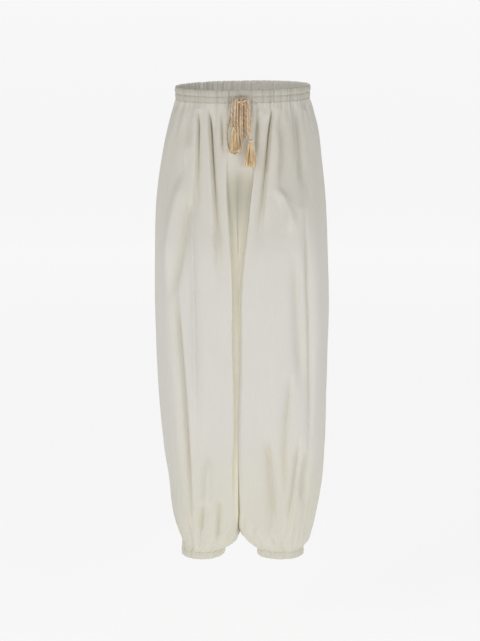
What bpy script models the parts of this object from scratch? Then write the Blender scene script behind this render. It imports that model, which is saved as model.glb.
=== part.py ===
"""Drawstring trousers with balloon legs, in metres, +Z up, front towards -Y.

The origin is the centre of the waist opening. The wearer's right leg lies on the -X side.
A place on the cloth is given by its drop and its share. The drop is the distance below the
origin. The share runs across one panel: from 0 at the centre seam, or at the inseam lower
down, to 1 at the side seam.
"""

import math
from collections import namedtuple

import bmesh
import bpy
import numpy as np
from mathutils import Vector

# Driving sizes
CLOTH = 0.0015
SEAM_GAP = 0.0003
BAND_TOP = 0.0175
BAND_BOTTOM = -0.0105
PANEL_TOP = SEAM_GAP - BAND_BOTTOM
PANEL_HEM = 1.0030
CUFF_HEIGHT = 0.0165
CROTCH_DROP = 0.335
LEG_PARTING = 0.0012
PARTING_SWAY = 0.0045
SWAY_LENGTH = 0.0350
SWAY_REACH = 0.0500

# The waist lies higher at the back and on the left, and this rise fades out down the hips
BACK_RISE = 0.070
LEFT_RISE = 0.014
RISE_FADES_BY = 0.25

# Gathers at the waist and at the cuffs
GATHERS_A_PANEL = 7
COLUMNS_A_GATHER = 4
WAIST_GATHER_DEPTH = 0.0024
CUFF_GATHER_DEPTH = 0.0030
WAIST_GATHER_REACH = 0.050
CUFF_GATHER_REACH = 0.055
GATHER_SLOW_DRIFT = 0.011
GATHER_QUICK_DRIFT = 0.008
GATHER_UNEVENNESS = 0.35

# Drawstring and tassels
CORD_DIAMETER = 0.0040
CORD_POINT_SPACING = 0.0095
STRAIGHT_END = 0.0040
STRANDS_A_TASSEL = 36
STRAND_RADIUS = 0.00045

# Half widths to each side, the parting between the legs, and half depths, for each drop
Section = namedtuple("Section", "drop right left parting front back")
SECTIONS = [
    Section(0.000, 0.1375, 0.1430, 0.0030, 0.1000, 0.1020),
    Section(0.012, 0.1410, 0.1460, 0.0028, 0.1015, 0.1040),
    Section(0.040, 0.1500, 0.1540, 0.0018, 0.1060, 0.1090),
    Section(0.080, 0.1605, 0.1635, -0.0010, 0.1100, 0.1160),
    Section(0.140, 0.1710, 0.1705, -0.0045, 0.1150, 0.1260),
    Section(0.220, 0.1800, 0.1775, -0.0075, 0.1190, 0.1310),
    Section(0.330, 0.1845, 0.1825, -0.0065, 0.1220, 0.1310),
    Section(0.450, 0.1870, 0.1860, -0.0035, 0.1230, 0.1280),
    Section(0.560, 0.1830, 0.1850, -0.0035, 0.1220, 0.1250),
    Section(0.670, 0.1765, 0.1845, -0.0060, 0.1190, 0.1210),
    Section(0.760, 0.1695, 0.1805, -0.0065, 0.1130, 0.1150),
    Section(0.850, 0.1580, 0.1745, -0.0050, 0.1020, 0.1040),
    Section(0.920, 0.1505, 0.1650, -0.0030, 0.0880, 0.0900),
    Section(0.965, 0.1415, 0.1545, -0.0010, 0.0740, 0.0760),
    Section(0.990, 0.1345, 0.1460, 0.0000, 0.0620, 0.0640),
    Section(1.003, 0.1335, 0.1390, 0.0000, 0.0530, 0.0530),
]

# How far each leg's inner side draws back from the parting above the cuff
InnerSide = namedtuple("InnerSide", "drop inset")
INNER_SIDE = [
    InnerSide(0.300, 0.0000),
    InnerSide(0.900, 0.0000),
    InnerSide(0.955, 0.0010),
    InnerSide(0.974, 0.0040),
    InnerSide(0.983, 0.0085),
    InnerSide(0.993, 0.0170),
    InnerSide(1.003, 0.0370),
]

# How boxy a leg's section is on its inner and outer half: 2 is an ellipse
Squareness = namedtuple("Squareness", "drop inner outer")
SQUARENESS = [
    Squareness(0.100, 6.0, 2.3),
    Squareness(0.335, 7.0, 2.3),
    Squareness(0.600, 7.0, 2.3),
    Squareness(0.800, 5.5, 2.3),
    Squareness(0.920, 3.2, 2.2),
    Squareness(0.965, 2.4, 2.1),
    Squareness(1.003, 2.0, 2.0),
]

# The hips' own squareness, how late the outline parts into legs on its way down to the crotch, and
# the share of the turn over which the hips' outline leaves the centre slowly
TORSO_SQUARENESS = 2.15
LEGS_PART_POWER = 2.2
HIP_EASE = 0.2

# The sunken strip between the legs: how far it reaches to each side of the parting, and its depth
Valley = namedtuple("Valley", "drop right left depth")
VALLEY = [
    Valley(0.090, 0.0300, 0.0320, 0.0000),
    Valley(0.175, 0.0270, 0.0300, 0.0150),
    Valley(0.240, 0.0230, 0.0235, 0.0250),
    Valley(0.300, 0.0195, 0.0180, 0.0320),
    Valley(0.362, 0.0185, 0.0105, 0.0350),
    Valley(0.423, 0.0185, 0.0055, 0.0350),
    Valley(0.535, 0.0180, 0.0000, 0.0330),
    Valley(0.622, 0.0130, 0.0000, 0.0290),
    Valley(0.730, 0.0105, 0.0000, 0.0240),
    Valley(0.805, 0.0135, 0.0000, 0.0180),
    Valley(0.882, 0.0115, 0.0000, 0.0100),
    Valley(0.935, 0.0060, 0.0000, 0.0000),
]
VALLEY_WALL = 0.0050

# Each fold runs down one panel through three places across from the middle of the garment;
# a negative height is a trough
Fold = namedtuple("Fold", "leg face start end across_start across_middle across_end height width")
FOLDS = [
    Fold("right", "front", 0.010, 0.420, 0.0700, 0.0555, 0.0445, -0.0075, 0.011),
    Fold("right", "front", 0.010, 0.215, 0.0905, 0.0925, 0.0965, -0.0045, 0.010),
    Fold("right", "front", 0.010, 0.200, 0.0425, 0.0380, 0.0310, -0.0045, 0.010),
    Fold("right", "front", 0.010, 0.110, 0.1120, 0.1140, 0.1150, -0.0030, 0.010),
    Fold("right", "front", 0.150, 0.400, 0.1180, 0.1480, 0.1600, 0.0035, 0.013),
    Fold("right", "front", 0.190, 0.440, 0.1010, 0.1270, 0.1550, -0.0045, 0.012),
    Fold("right", "front", 0.400, 0.965, 0.1520, 0.1165, 0.1190, -0.0055, 0.014),
    Fold("right", "front", 0.180, 0.760, 0.1045, 0.1020, 0.1010, 0.0025, 0.009),
    Fold("right", "front", 0.770, 0.900, 0.0700, 0.0740, 0.0770, 0.0030, 0.010),
    Fold("right", "front", 0.870, 0.985, 0.0830, 0.0870, 0.0930, -0.0040, 0.010),
    Fold("right", "front", 0.860, 0.990, 0.0460, 0.0500, 0.0520, -0.0045, 0.010),
    Fold("left", "front", 0.010, 0.340, 0.0660, 0.0500, 0.0340, -0.0075, 0.011),
    Fold("left", "front", 0.010, 0.200, 0.0305, 0.0265, 0.0220, -0.0045, 0.010),
    Fold("left", "front", 0.010, 0.210, 0.0760, 0.0880, 0.0800, -0.0035, 0.010),
    Fold("left", "front", 0.010, 0.200, 0.1150, 0.1230, 0.1300, -0.0035, 0.011),
    Fold("left", "front", 0.185, 0.290, 0.0700, 0.0990, 0.1050, 0.0030, 0.010),
    Fold("left", "front", 0.210, 0.830, 0.1320, 0.1480, 0.1460, -0.0040, 0.010),
    Fold("left", "front", 0.310, 0.660, 0.1140, 0.1220, 0.1350, -0.0030, 0.014),
    Fold("left", "front", 0.720, 0.960, 0.0510, 0.0640, 0.0730, -0.0045, 0.011),
    Fold("left", "front", 0.590, 0.890, 0.1080, 0.0940, 0.0970, -0.0045, 0.011),
    Fold("left", "front", 0.740, 0.950, 0.1290, 0.1145, 0.0970, -0.0040, 0.010),
    Fold("left", "front", 0.755, 0.895, 0.1490, 0.1390, 0.1360, -0.0035, 0.010),
    Fold("right", "back", 0.010, 0.400, 0.0580, 0.0620, 0.0700, -0.0065, 0.012),
    Fold("right", "back", 0.010, 0.240, 0.1040, 0.1000, 0.0920, -0.0045, 0.011),
    Fold("right", "back", 0.250, 0.700, 0.1300, 0.1200, 0.1050, -0.0045, 0.014),
    Fold("right", "back", 0.560, 0.950, 0.0500, 0.0620, 0.0800, -0.0050, 0.013),
    Fold("right", "back", 0.800, 0.980, 0.1250, 0.1150, 0.1050, -0.0045, 0.011),
    Fold("left", "back", 0.010, 0.360, 0.0640, 0.0700, 0.0800, -0.0065, 0.012),
    Fold("left", "back", 0.010, 0.280, 0.1120, 0.1080, 0.1060, -0.0045, 0.011),
    Fold("left", "back", 0.300, 0.760, 0.1180, 0.1080, 0.0920, -0.0045, 0.014),
    Fold("left", "back", 0.620, 0.960, 0.1380, 0.1280, 0.1200, -0.0050, 0.013),
    Fold("left", "back", 0.820, 0.985, 0.0600, 0.0660, 0.0700, -0.0045, 0.011),
]

PANEL_DROPS = [
    PANEL_TOP, 0.020, 0.036, 0.060, 0.095, 0.140, 0.190, 0.240, 0.285, 0.315, CROTCH_DROP,
    0.400, 0.480, 0.570, 0.660, 0.750, 0.830, 0.890, 0.935, 0.965, 0.987, PANEL_HEM,
]

# Below the band a pleat opens over this length; other folds fade in shares of their own length
PLEAT_OPENS_WITHIN = 0.030
FOLD_FADES_IN = 0.25
FOLD_FADES_OUT = 0.35
SEAM_MARGIN = 0.06

# How finely an outline is sampled, and how near the band and the cuff its directions turn level
OUTLINE_SAMPLES = 1201
SHARE_STEP = 0.004
DROP_STEP = 0.002
LEVEL_REACH = 0.012

SIDES = {"right": -1, "left": 1}
FACES = {"front": -1, "back": 1}
SIDE_COLUMN = {-1: "right", 1: "left"}
FACE_COLUMN = {-1: "front", 1: "back"}

# Routes of the drawstring below the knot: across, drop, and how far it lies in front of the cloth
RoutePoint = namedtuple("RoutePoint", "across drop clear")
LOOP_RIGHT = [
    RoutePoint(-0.0205, 0.0380, 0.0050),
    RoutePoint(-0.0275, 0.0560, 0.0040),
    RoutePoint(-0.0315, 0.0780, 0.0038),
    RoutePoint(-0.0300, 0.1000, 0.0038),
    RoutePoint(-0.0240, 0.1160, 0.0038),
    RoutePoint(-0.0135, 0.1220, 0.0038),
    RoutePoint(-0.0045, 0.1140, 0.0038),
    RoutePoint(-0.0015, 0.0950, 0.0038),
    RoutePoint(-0.0020, 0.0700, 0.0040),
    RoutePoint(-0.0030, 0.0450, 0.0048),
]
LOOP_LEFT = [
    RoutePoint(0.0032, 0.0440, 0.0045),
    RoutePoint(0.0045, 0.0590, 0.0040),
    RoutePoint(0.0088, 0.0675, 0.0038),
    RoutePoint(0.0130, 0.0590, 0.0040),
    RoutePoint(0.0125, 0.0440, 0.0045),
]
END_RIGHT = [
    RoutePoint(-0.0095, 0.0350, 0.0105),
    RoutePoint(-0.0115, 0.0420, 0.0122),
]
END_LEFT = [
    RoutePoint(0.0165, 0.0400, 0.0105),
    RoutePoint(0.0200, 0.0580, 0.0114),
    RoutePoint(0.0195, 0.0740, 0.0120),
    RoutePoint(0.0185, 0.0860, 0.0122),
]

# Where each cord leaves the knot's underside
KnotPort = namedtuple("KnotPort", "across forward")
LOOP_RIGHT_PORTS = [KnotPort(-0.0100, -0.1096), KnotPort(-0.0036, -0.1094)]
LOOP_LEFT_PORTS = [KnotPort(0.0030, -0.1094), KnotPort(0.0102, -0.1096)]
END_RIGHT_PORT = KnotPort(-0.0066, -0.1146)
END_LEFT_PORT = KnotPort(0.0092, -0.1144)

KNOT_CENTRE = Vector((0.0010, -0.1120, -0.0160))
KNOT_HALF_SIZE = Vector((0.0150, 0.0062, 0.0078))
BUTTONHOLE_ACROSS = {"right": -0.0085, "left": 0.0085}
BUTTONHOLE_HEIGHT = -0.0098
BUTTONHOLE_HALF_WIDTH = 0.0026
BUTTONHOLE_HALF_HEIGHT = 0.0042
BUTTONHOLE_DEPTH = 0.0018
BUTTONHOLE_PLUG_LENGTH = 0.0100
STUB_DIAMETER = 0.0036
STUB_BEND_SHARE = 0.75

# A skirt leans forward as it hangs over the fuller cloth below
TasselSize = namedtuple("TasselSize", "skirt_length half_width half_depth lean")
TASSELS = {
    "right": TasselSize(0.066, 0.0125, 0.0066, 0.0085),
    "left": TasselSize(0.052, 0.0112, 0.0064, 0.0050),
}
TASSEL_HEAD_HEIGHT = 0.0095
TASSEL_HEAD_RADIUS = 0.0050
TASSEL_ROOT_RADIUS = 0.0042
STRAND_ROOT_RISE = 0.0025
STRAND_SHORTEST = 0.10

# Profile of a tassel's head, in shares of its radius and of its height from the top
HeadPoint = namedtuple("HeadPoint", "radius depth")
HEAD_PROFILE = [
    HeadPoint(0.00, 0.00),
    HeadPoint(0.52, 0.00),
    HeadPoint(0.90, 0.16),
    HeadPoint(1.00, 0.40),
    HeadPoint(0.80, 0.55),
    HeadPoint(0.80, 0.74),
    HeadPoint(0.98, 1.00),
    HeadPoint(0.00, 1.00),
]

# Levels of a skirt: how far down, and the spread and lean there in shares of the skirt's own
SkirtLevel = namedtuple("SkirtLevel", "down across forward lean thickness")
SKIRT_MIDDLE = SkirtLevel(0.35, 0.60, 0.75, 0.50, 1.2)
SKIRT_END = SkirtLevel(1.00, 1.00, 1.00, 1.00, 1.3)

# Colours, with the finish that each piece is made of
Finish = namedtuple("Finish", "colour roughness")
COTTON = Finish((0.80, 0.79, 0.74), 0.85)
COTTON_BAND = Finish((0.77, 0.76, 0.71), 0.88)
COTTON_CUFF = Finish((0.78, 0.77, 0.70), 0.88)
ROPE = Finish((0.62, 0.44, 0.27), 0.75)
YARN = Finish((0.70, 0.48, 0.27), 0.80)


def clear_scene():
    """Remove every object that the file starts with."""
    for thing in list(bpy.data.objects):
        bpy.data.objects.remove(thing, do_unlink=True)


def new_collection(name):
    """Make a collection in the scene."""
    collection = bpy.data.collections.new(name)
    bpy.context.scene.collection.children.link(collection)
    return collection


def new_material(name, finish):
    """A Principled material with one colour and roughness."""
    material = bpy.data.materials.new(name)
    material.use_nodes = True
    shader = material.node_tree.nodes["Principled BSDF"]
    shader.inputs["Base Color"].default_value = (*finish.colour, 1.0)
    shader.inputs["Roughness"].default_value = finish.roughness
    shader.inputs["Metallic"].default_value = 0.0
    return material


def smooth_between(place, places, values):
    """Read a table at any place, along smooth Hermite curves through its rows."""
    places = np.asarray(places, float)
    values = np.asarray(values, float)
    slopes = np.gradient(values, places)
    row = np.clip(np.searchsorted(places, place) - 1, 0, len(places) - 2)
    step = places[row + 1] - places[row]
    part = np.clip((place - places[row]) / step, 0.0, 1.0)
    start = (1 + 2 * part) * (1 - part) ** 2 * values[row]
    start_slope = part * (1 - part) ** 2 * step * slopes[row]
    end = part * part * (3 - 2 * part) * values[row + 1]
    end_slope = part * part * (part - 1) * step * slopes[row + 1]
    return start + start_slope + end + end_slope


def read_table(rows, column, drop):
    """Value of one named column of a table at this drop."""
    return smooth_between(drop, [row.drop for row in rows], [getattr(row, column) for row in rows])


def soft_step(value):
    """Rise from 0 to 1 with level ends as the value goes from 0 to 1."""
    value = np.clip(value, 0.0, 1.0)
    return value * value * (3 - 2 * value)


def half_outline(side, face, drop, turns):
    """Outline of one panel's side of the garment at one drop.

    The hips are a superellipse round the whole body, x = outer * sin, y = depth * cos, and each leg
    is a superellipse of its own. The outline goes from the first to the second down to the crotch,
    and its fullest part keeps the same depth on the way. The front has a sunken strip along the
    parting, with a steep wall up to each leg.
    Turns run from 0 at the centre or inseam to 1 at the side seam. The legs' inner sides sway
    together, so no straight line of sight passes between them.
    """
    outer = read_table(SECTIONS, SIDE_COLUMN[side], drop)
    depth = read_table(SECTIONS, FACE_COLUMN[face], drop)
    parting = side * read_table(SECTIONS, "parting", drop)
    inset = max(0.0, read_table(INNER_SIDE, "inset", drop))
    inner = parting + LEG_PARTING / 2 + inset
    parted = np.clip(drop / CROTCH_DROP, 0.0, 1.0) ** LEGS_PART_POWER

    angle = turns * soft_step(turns / HIP_EASE) * math.pi / 2
    power = 2 / TORSO_SQUARENESS
    hip_across = parting + (outer - parting) * np.sin(angle) ** power
    hip_depth = depth * np.abs(np.cos(angle)) ** power

    around = turns * math.pi
    centre = (outer + inner) / 2
    half_width = (outer - inner) / 2
    inner_power = 2 / read_table(SQUARENESS, "inner", drop)
    outer_power = 2 / read_table(SQUARENESS, "outer", drop)
    power = np.where(np.cos(around) > 0, inner_power, outer_power)
    leg_across = centre - half_width * np.sign(np.cos(around)) * np.abs(np.cos(around)) ** power
    leg_depth = depth * np.abs(np.sin(around)) ** power

    across = (1 - parted) * hip_across + parted * leg_across
    forward = (1 - parted) * hip_depth + parted * leg_depth
    forward *= depth / forward.max()
    if FACE_COLUMN[face] == "front":
        reach = read_table(VALLEY, SIDE_COLUMN[side], drop)
        floor = depth - read_table(VALLEY, "depth", drop)
        sunken = soft_step((reach - (across - inner)) / VALLEY_WALL)
        forward -= sunken * np.maximum(0.0, forward - floor)
    nearness = soft_step(1 - (across - inner) / SWAY_REACH)
    sway = parted * PARTING_SWAY * nearness * np.sin(face * forward / SWAY_LENGTH)
    return np.stack([side * across + sway, face * forward], axis=-1)


def outline_at_shares(side, face, drop, shares):
    """Points of the outline at these shares of its length, and its length."""
    turns = (1 - np.cos(np.linspace(0, math.pi, OUTLINE_SAMPLES))) / 2
    outline = half_outline(side, face, drop, turns)
    steps = np.hypot(*np.diff(outline, axis=0).T)
    along = np.concatenate([[0.0], np.cumsum(steps)])
    wanted = np.asarray(shares) * along[-1]
    across = np.interp(wanted, along, outline[:, 0])
    forward = np.interp(wanted, along, outline[:, 1])
    return np.stack([across, forward], axis=-1), along[-1]


def base_points(side, face, drop, shares):
    """Points of the smooth cloth in space, before folds: the outline at its height."""
    flat, length = outline_at_shares(side, face, drop, shares)
    height = np.full((len(flat), 1), -drop)
    return np.hstack([flat, height]), length


def base_normals(side, face, drop, shares):
    """Outward directions of the smooth cloth, square to its run across and its run down.

    They are level at the top and at the hem, where the cloth meets the band and the cuff.
    """
    before, _ = base_points(side, face, drop, np.clip(shares - SHARE_STEP, 0, 1))
    after, _ = base_points(side, face, drop, np.clip(shares + SHARE_STEP, 0, 1))
    above, _ = base_points(side, face, drop - DROP_STEP, shares)
    below, _ = base_points(side, face, drop + DROP_STEP, shares)
    normals = np.cross(after - before, below - above) * side * face
    levelled = math.exp(-(((drop - PANEL_TOP) / LEVEL_REACH) ** 2))
    levelled += math.exp(-(((PANEL_HEM - drop) / LEVEL_REACH) ** 2))
    normals /= np.linalg.norm(normals, axis=1, keepdims=True)
    normals[:, 2] *= 1 - levelled
    return normals / np.linalg.norm(normals, axis=1, keepdims=True)


def gather_wave(side, face, shares):
    """Uneven row of narrow creases: 1 in the middle of a crease, near 0 between creases."""
    slow = GATHER_SLOW_DRIFT * (np.sin(2 * math.tau * shares + side) - math.sin(side))
    quick = GATHER_QUICK_DRIFT * (np.sin(3 * math.tau * shares + face) - math.sin(face))
    turns = GATHERS_A_PANEL * (shares + slow + quick)
    swell = np.sin(math.pi * shares * (4 + side)) * np.cos(math.pi * shares * 3)
    depth = 1 + GATHER_UNEVENNESS * swell
    return depth * (0.5 + 0.5 * np.cos(math.tau * turns)) ** 2


def gather_offset(side, face, drop, shares):
    """Depth of the gathers below the waistband and above the cuffs."""
    wave = gather_wave(side, face, shares)
    waist_part = math.exp(-(((drop - PANEL_TOP) / WAIST_GATHER_REACH) ** 2))
    cuff_part = math.exp(-(((PANEL_HEM - drop) / CUFF_GATHER_REACH) ** 2))
    return -(WAIST_GATHER_DEPTH * waist_part + CUFF_GATHER_DEPTH * cuff_part) * wave


def fold_offset(side, face, drop, shares, smooth, length):
    """Sum of the long folds: each is a soft bell across its own line, with faded ends."""
    total = np.zeros(len(shares))
    across = np.maximum.accumulate(side * smooth[:, 0])
    for fold in FOLDS:
        if SIDES[fold.leg] != side or FACES[fold.face] != face:
            continue
        down = (drop - fold.start) / (fold.end - fold.start)
        if not 0.0 < down < 1.0:
            continue
        places = [fold.across_start, fold.across_middle, fold.across_end]
        line = np.interp(smooth_between(down, [0.0, 0.5, 1.0], places), across, shares)
        starts_at_waist = fold.start < PANEL_TOP
        below_band = soft_step((drop - PANEL_TOP) / PLEAT_OPENS_WITHIN)
        fade_in = below_band if starts_at_waist else soft_step(down / FOLD_FADES_IN)
        fade = fade_in * soft_step((1 - down) / FOLD_FADES_OUT)
        away = (shares - line) * length / fold.width
        total += fold.height * fade * np.exp(-away * away)
    clear_of_seams = soft_step(shares / SEAM_MARGIN) * soft_step((1 - shares) / SEAM_MARGIN)
    return total * clear_of_seams


def raise_waist(points):
    """Lift the back and the left of the waist; the lift fades out down the hips."""
    fade = 1 - soft_step(-points[..., 2] / RISE_FADES_BY)
    lifted = points.copy()
    lifted[..., 2] += fade * (BACK_RISE * points[..., 1] + LEFT_RISE * points[..., 0])
    return lifted


def panel_points(side, face):
    """Outer and inner points of one panel, a row for each drop."""
    outer_rows = []
    inner_rows = []
    columns = GATHERS_A_PANEL * COLUMNS_A_GATHER
    even_shares = np.linspace(0, 1, columns + 1)
    for drop in PANEL_DROPS:
        length = outline_at_shares(side, face, drop, even_shares)[1]
        edge = SEAM_GAP / 2 / length
        shares = edge + (1 - 2 * edge) * even_shares
        smooth, _ = base_points(side, face, drop, shares)
        normals = base_normals(side, face, drop, shares)
        offset = gather_offset(side, face, drop, shares)
        offset += fold_offset(side, face, drop, shares, smooth, length)
        outer = smooth + normals * offset[:, None]
        outer_rows.append(outer)
        inner_rows.append(outer - normals * CLOTH)
    return raise_waist(np.array(outer_rows)), raise_waist(np.array(inner_rows))


def add_object(name, bm, collection, material, smooth=True):
    """Turn a bmesh into a named object with its material."""
    bmesh.ops.recalc_face_normals(bm, faces=bm.faces)
    mesh = bpy.data.meshes.new(name)
    bm.to_mesh(mesh)
    bm.free()
    mesh.materials.append(material)
    if smooth:
        mesh.shade_smooth()
        mesh.set_sharp_from_angle(angle=math.radians(50))
    thing = bpy.data.objects.new(name, mesh)
    collection.objects.link(thing)
    return thing


def join_rows(bm, first, second, closed):
    """Faces between two rows of vertices of the same length."""
    count = len(first)
    for index in range(count if closed else count - 1):
        after = (index + 1) % count
        bm.faces.new((first[index], first[after], second[after], second[index]))


def add_wall(name, outer, inner, collection, material):
    """Closed wall lofted between two grids of points, with its four edges."""
    bm = bmesh.new()
    outer_verts = [[bm.verts.new(point) for point in row] for row in outer]
    inner_verts = [[bm.verts.new(point) for point in row] for row in inner]
    for grid in (outer_verts, inner_verts):
        for upper, lower in zip(grid, grid[1:]):
            join_rows(bm, upper, lower, closed=False)
    join_rows(bm, outer_verts[0], inner_verts[0], closed=False)
    join_rows(bm, outer_verts[-1], inner_verts[-1], closed=False)
    for column in (0, -1):
        outer_edge = [row[column] for row in outer_verts]
        inner_edge = [row[column] for row in inner_verts]
        join_rows(bm, outer_edge, inner_edge, closed=False)
    return add_object(name, bm, collection, material)


def add_ring(name, stations, collection, material):
    """Closed ring lofted through the same profile at each station round it."""
    bm = bmesh.new()
    verts = [[bm.verts.new(point) for point in station] for station in stations]
    for index, station in enumerate(verts):
        join_rows(bm, station, verts[(index + 1) % len(verts)], closed=True)
    return add_object(name, bm, collection, material)


def ring_path(drop, halves):
    """Points, outward directions and gather waves round a ring of panel edges.

    Each entry of halves is a side, a face and whether its shares run backwards.
    """
    columns = GATHERS_A_PANEL * COLUMNS_A_GATHER
    points = []
    normals = []
    waves = []
    for side, face, backwards in halves:
        shares = np.arange(columns) / columns
        if backwards:
            shares = 1 - shares
        points.append(base_points(side, face, drop, shares)[0])
        normals.append(base_normals(side, face, drop, shares))
        waves.append(gather_wave(side, face, shares))
    directions = np.concatenate(normals)
    directions[:, 2] = 0
    directions /= np.linalg.norm(directions, axis=1, keepdims=True)
    return np.concatenate(points), directions, np.concatenate(waves)


# Profile of a casing: outward place, height in shares of the casing, and share of gather depth
ProfilePoint = namedtuple("ProfilePoint", "outward height gather")
BAND_PROFILE = [
    ProfilePoint(0.0002, 0.00, 1.00),
    ProfilePoint(0.0024, 0.24, 0.45),
    ProfilePoint(0.0006, 0.52, 1.00),
    ProfilePoint(0.0022, 0.76, 0.55),
    ProfilePoint(0.0002, 1.00, 0.90),
    ProfilePoint(-0.0022, 0.90, 0.60),
    ProfilePoint(-0.0018, 0.52, 0.60),
    ProfilePoint(-0.0019, 0.00, 1.00),
]
CUFF_PROFILE = [
    ProfilePoint(0.0002, 1.00, 1.00),
    ProfilePoint(0.0026, 0.60, 0.55),
    ProfilePoint(0.0012, 0.10, 0.90),
    ProfilePoint(-0.0004, 0.00, 0.80),
    ProfilePoint(-0.0022, 0.12, 0.60),
    ProfilePoint(-0.0017, 1.00, 1.00),
]


def casing_stations(path, profile, bottom, height, gather_depth):
    """Profile points at each station of a gathered casing."""
    points, normals, waves = path
    stations = []
    for point in profile:
        outward = point.outward - gather_depth * point.gather * waves
        places = points + normals * outward[:, None]
        places[:, 2] = bottom + height * point.height
        stations.append(places)
    return np.stack(stations, axis=1)


def make_waistband(collection, cutters):
    """Band with an elastic channel over a drawstring channel, and two buttonholes."""
    halves = [(1, -1, False), (1, 1, True), (-1, 1, False), (-1, -1, True)]
    path = ring_path(PANEL_TOP, halves)
    stations = casing_stations(
        path, BAND_PROFILE, BAND_BOTTOM, BAND_TOP - BAND_BOTTOM, WAIST_GATHER_DEPTH
    )
    material = new_material("band_cotton", COTTON_BAND)
    band = add_ring("waistband", raise_waist(stations), collection, material)
    buttonholes = {}
    for side_name, across in BUTTONHOLE_ACROSS.items():
        buttonholes[side_name] = Vector((across, band_front(band, across), BUTTONHOLE_HEIGHT))
    for side_name, place in buttonholes.items():
        modifier = band.modifiers.new("buttonhole_" + side_name, "BOOLEAN")
        modifier.operation = "DIFFERENCE"
        modifier.object = make_buttonhole_cutter(side_name, place, cutters)
    return buttonholes


def band_front(band, across):
    """Y of the uncut band's front face where a buttonhole goes."""
    start = Vector((across, -1.0, BUTTONHOLE_HEIGHT))
    hit, place, _, _ = band.ray_cast(start, Vector((0, 1, 0)))
    if not hit:
        raise ValueError("the band has no face in front of a buttonhole")
    return place.y


def make_buttonhole_cutter(side_name, centre, cutters):
    """Oval plug that cuts one buttonhole into the band's outer layer."""
    length = BUTTONHOLE_PLUG_LENGTH
    bm = bmesh.new()
    bmesh.ops.create_cone(
        bm, cap_ends=True, segments=14, radius1=1.0, radius2=1.0, depth=length
    )
    turned = [Vector((v.co.x, v.co.z, v.co.y)) for v in bm.verts]
    for vert, place in zip(bm.verts, turned):
        vert.co.x = centre.x + place.x * BUTTONHOLE_HALF_WIDTH
        vert.co.y = centre.y + BUTTONHOLE_DEPTH - length / 2 + place.y
        vert.co.z = centre.z + place.z * BUTTONHOLE_HALF_HEIGHT
    material = new_material("cutter_" + side_name, ROPE)
    cutter = add_object("cut_buttonhole_" + side_name, bm, cutters, material, smooth=False)
    cutter.hide_render = True
    cutter.display_type = "WIRE"
    return cutter


def make_cuff(leg, collection):
    """Gathered elastic casing at the ankle, below the panels' lower edges."""
    side = SIDES[leg]
    halves = [(side, -1, False), (side, 1, True)]
    path = ring_path(PANEL_HEM, halves)
    top = -PANEL_HEM - SEAM_GAP
    stations = casing_stations(
        path, CUFF_PROFILE, top - CUFF_HEIGHT, CUFF_HEIGHT, CUFF_GATHER_DEPTH
    )
    material = new_material("cuff_cotton_" + leg, COTTON_CUFF)
    return add_ring("cuff_" + leg, stations, collection, material)


def make_panel(leg, face_name, collection):
    """One front or back panel, from the waistband to the cuff."""
    name = face_name + "_" + leg
    outer, inner = panel_points(SIDES[leg], FACES[face_name])
    material = new_material("cotton_" + name, COTTON)
    return add_wall(name, outer, inner, collection, material)


def route_places(route):
    """Places in space of a cord's route, in front of the fullest part of the cloth."""
    places = []
    for point in route:
        depth = read_table(SECTIONS, "front", point.drop)
        places.append(Vector((point.across, -depth - point.clear, -point.drop)))
    return places


def smooth_route(places, spacing):
    """Even points along a Catmull-Rom curve through the route's places."""
    fine = []
    padded = [places[0] * 2 - places[1]] + places + [places[-1] * 2 - places[-2]]
    for before, start, end, after in zip(padded, padded[1:], padded[2:], padded[3:]):
        for step in range(24):
            part = step / 24
            fine.append(
                0.5
                * (
                    2 * start
                    + (end - before) * part
                    + (2 * before - 5 * start + 4 * end - after) * part**2
                    + (3 * start - before - 3 * end + after) * part**3
                )
            )
    fine.append(places[-1])
    fine = np.array([list(place) for place in fine])
    along = np.concatenate([[0], np.cumsum(np.linalg.norm(np.diff(fine, axis=0), axis=1))])
    count = max(2, round(along[-1] / spacing)) + 1
    wanted = np.linspace(0, along[-1], count)
    return [Vector([np.interp(w, along, fine[:, axis]) for axis in range(3)]) for w in wanted]


def add_tube(name, points, diameter, collection, material):
    """Round cord along a list of points, with closed ends."""
    curve = bpy.data.curves.new(name, "CURVE")
    curve.dimensions = "3D"
    curve.bevel_depth = diameter / 2
    curve.bevel_resolution = 2
    curve.use_fill_caps = True
    spline = curve.splines.new("POLY")
    spline.points.add(len(points) - 1)
    for spline_point, place in zip(spline.points, points):
        spline_point.co = (*place, 1.0)
    curve.materials.append(material)
    tube = bpy.data.objects.new(name, curve)
    collection.objects.link(tube)
    return tube


def place_under_knot(port):
    """Centre of a level cord end whose nearest point is one gap below the rounded knot."""
    lowest = KNOT_CENTRE.z
    for step in range(24):
        angle = step * math.tau / 24
        across = port.across + CORD_DIAMETER / 2 * math.cos(angle)
        forward = port.forward + CORD_DIAMETER / 2 * math.sin(angle)
        aside = ((across - KNOT_CENTRE.x) / KNOT_HALF_SIZE.x) ** 2
        aside += ((forward - KNOT_CENTRE.y) / KNOT_HALF_SIZE.y) ** 2
        lowest = min(lowest, KNOT_CENTRE.z - KNOT_HALF_SIZE.z * math.sqrt(max(0.0, 1 - aside)))
    return Vector((port.across, port.forward, lowest - SEAM_GAP))


def cord_points(route, ports):
    """Points of one free stretch of the drawstring.

    It leaves the knot straight down at its first port. A loop comes back straight up to its
    second port, and a free end goes straight down into its tassel.
    """
    straight = Vector((0, 0, STRAIGHT_END))
    ends = [place_under_knot(port) for port in ports]
    places = [ends[0] - straight] + route_places(route)
    is_loop = len(ends) == 2
    if is_loop:
        places.append(ends[1] - straight)
    points = smooth_route(places, CORD_POINT_SPACING)
    last = ends[1] if is_loop else points[-1] - straight
    return [ends[0]] + points + [last]


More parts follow.
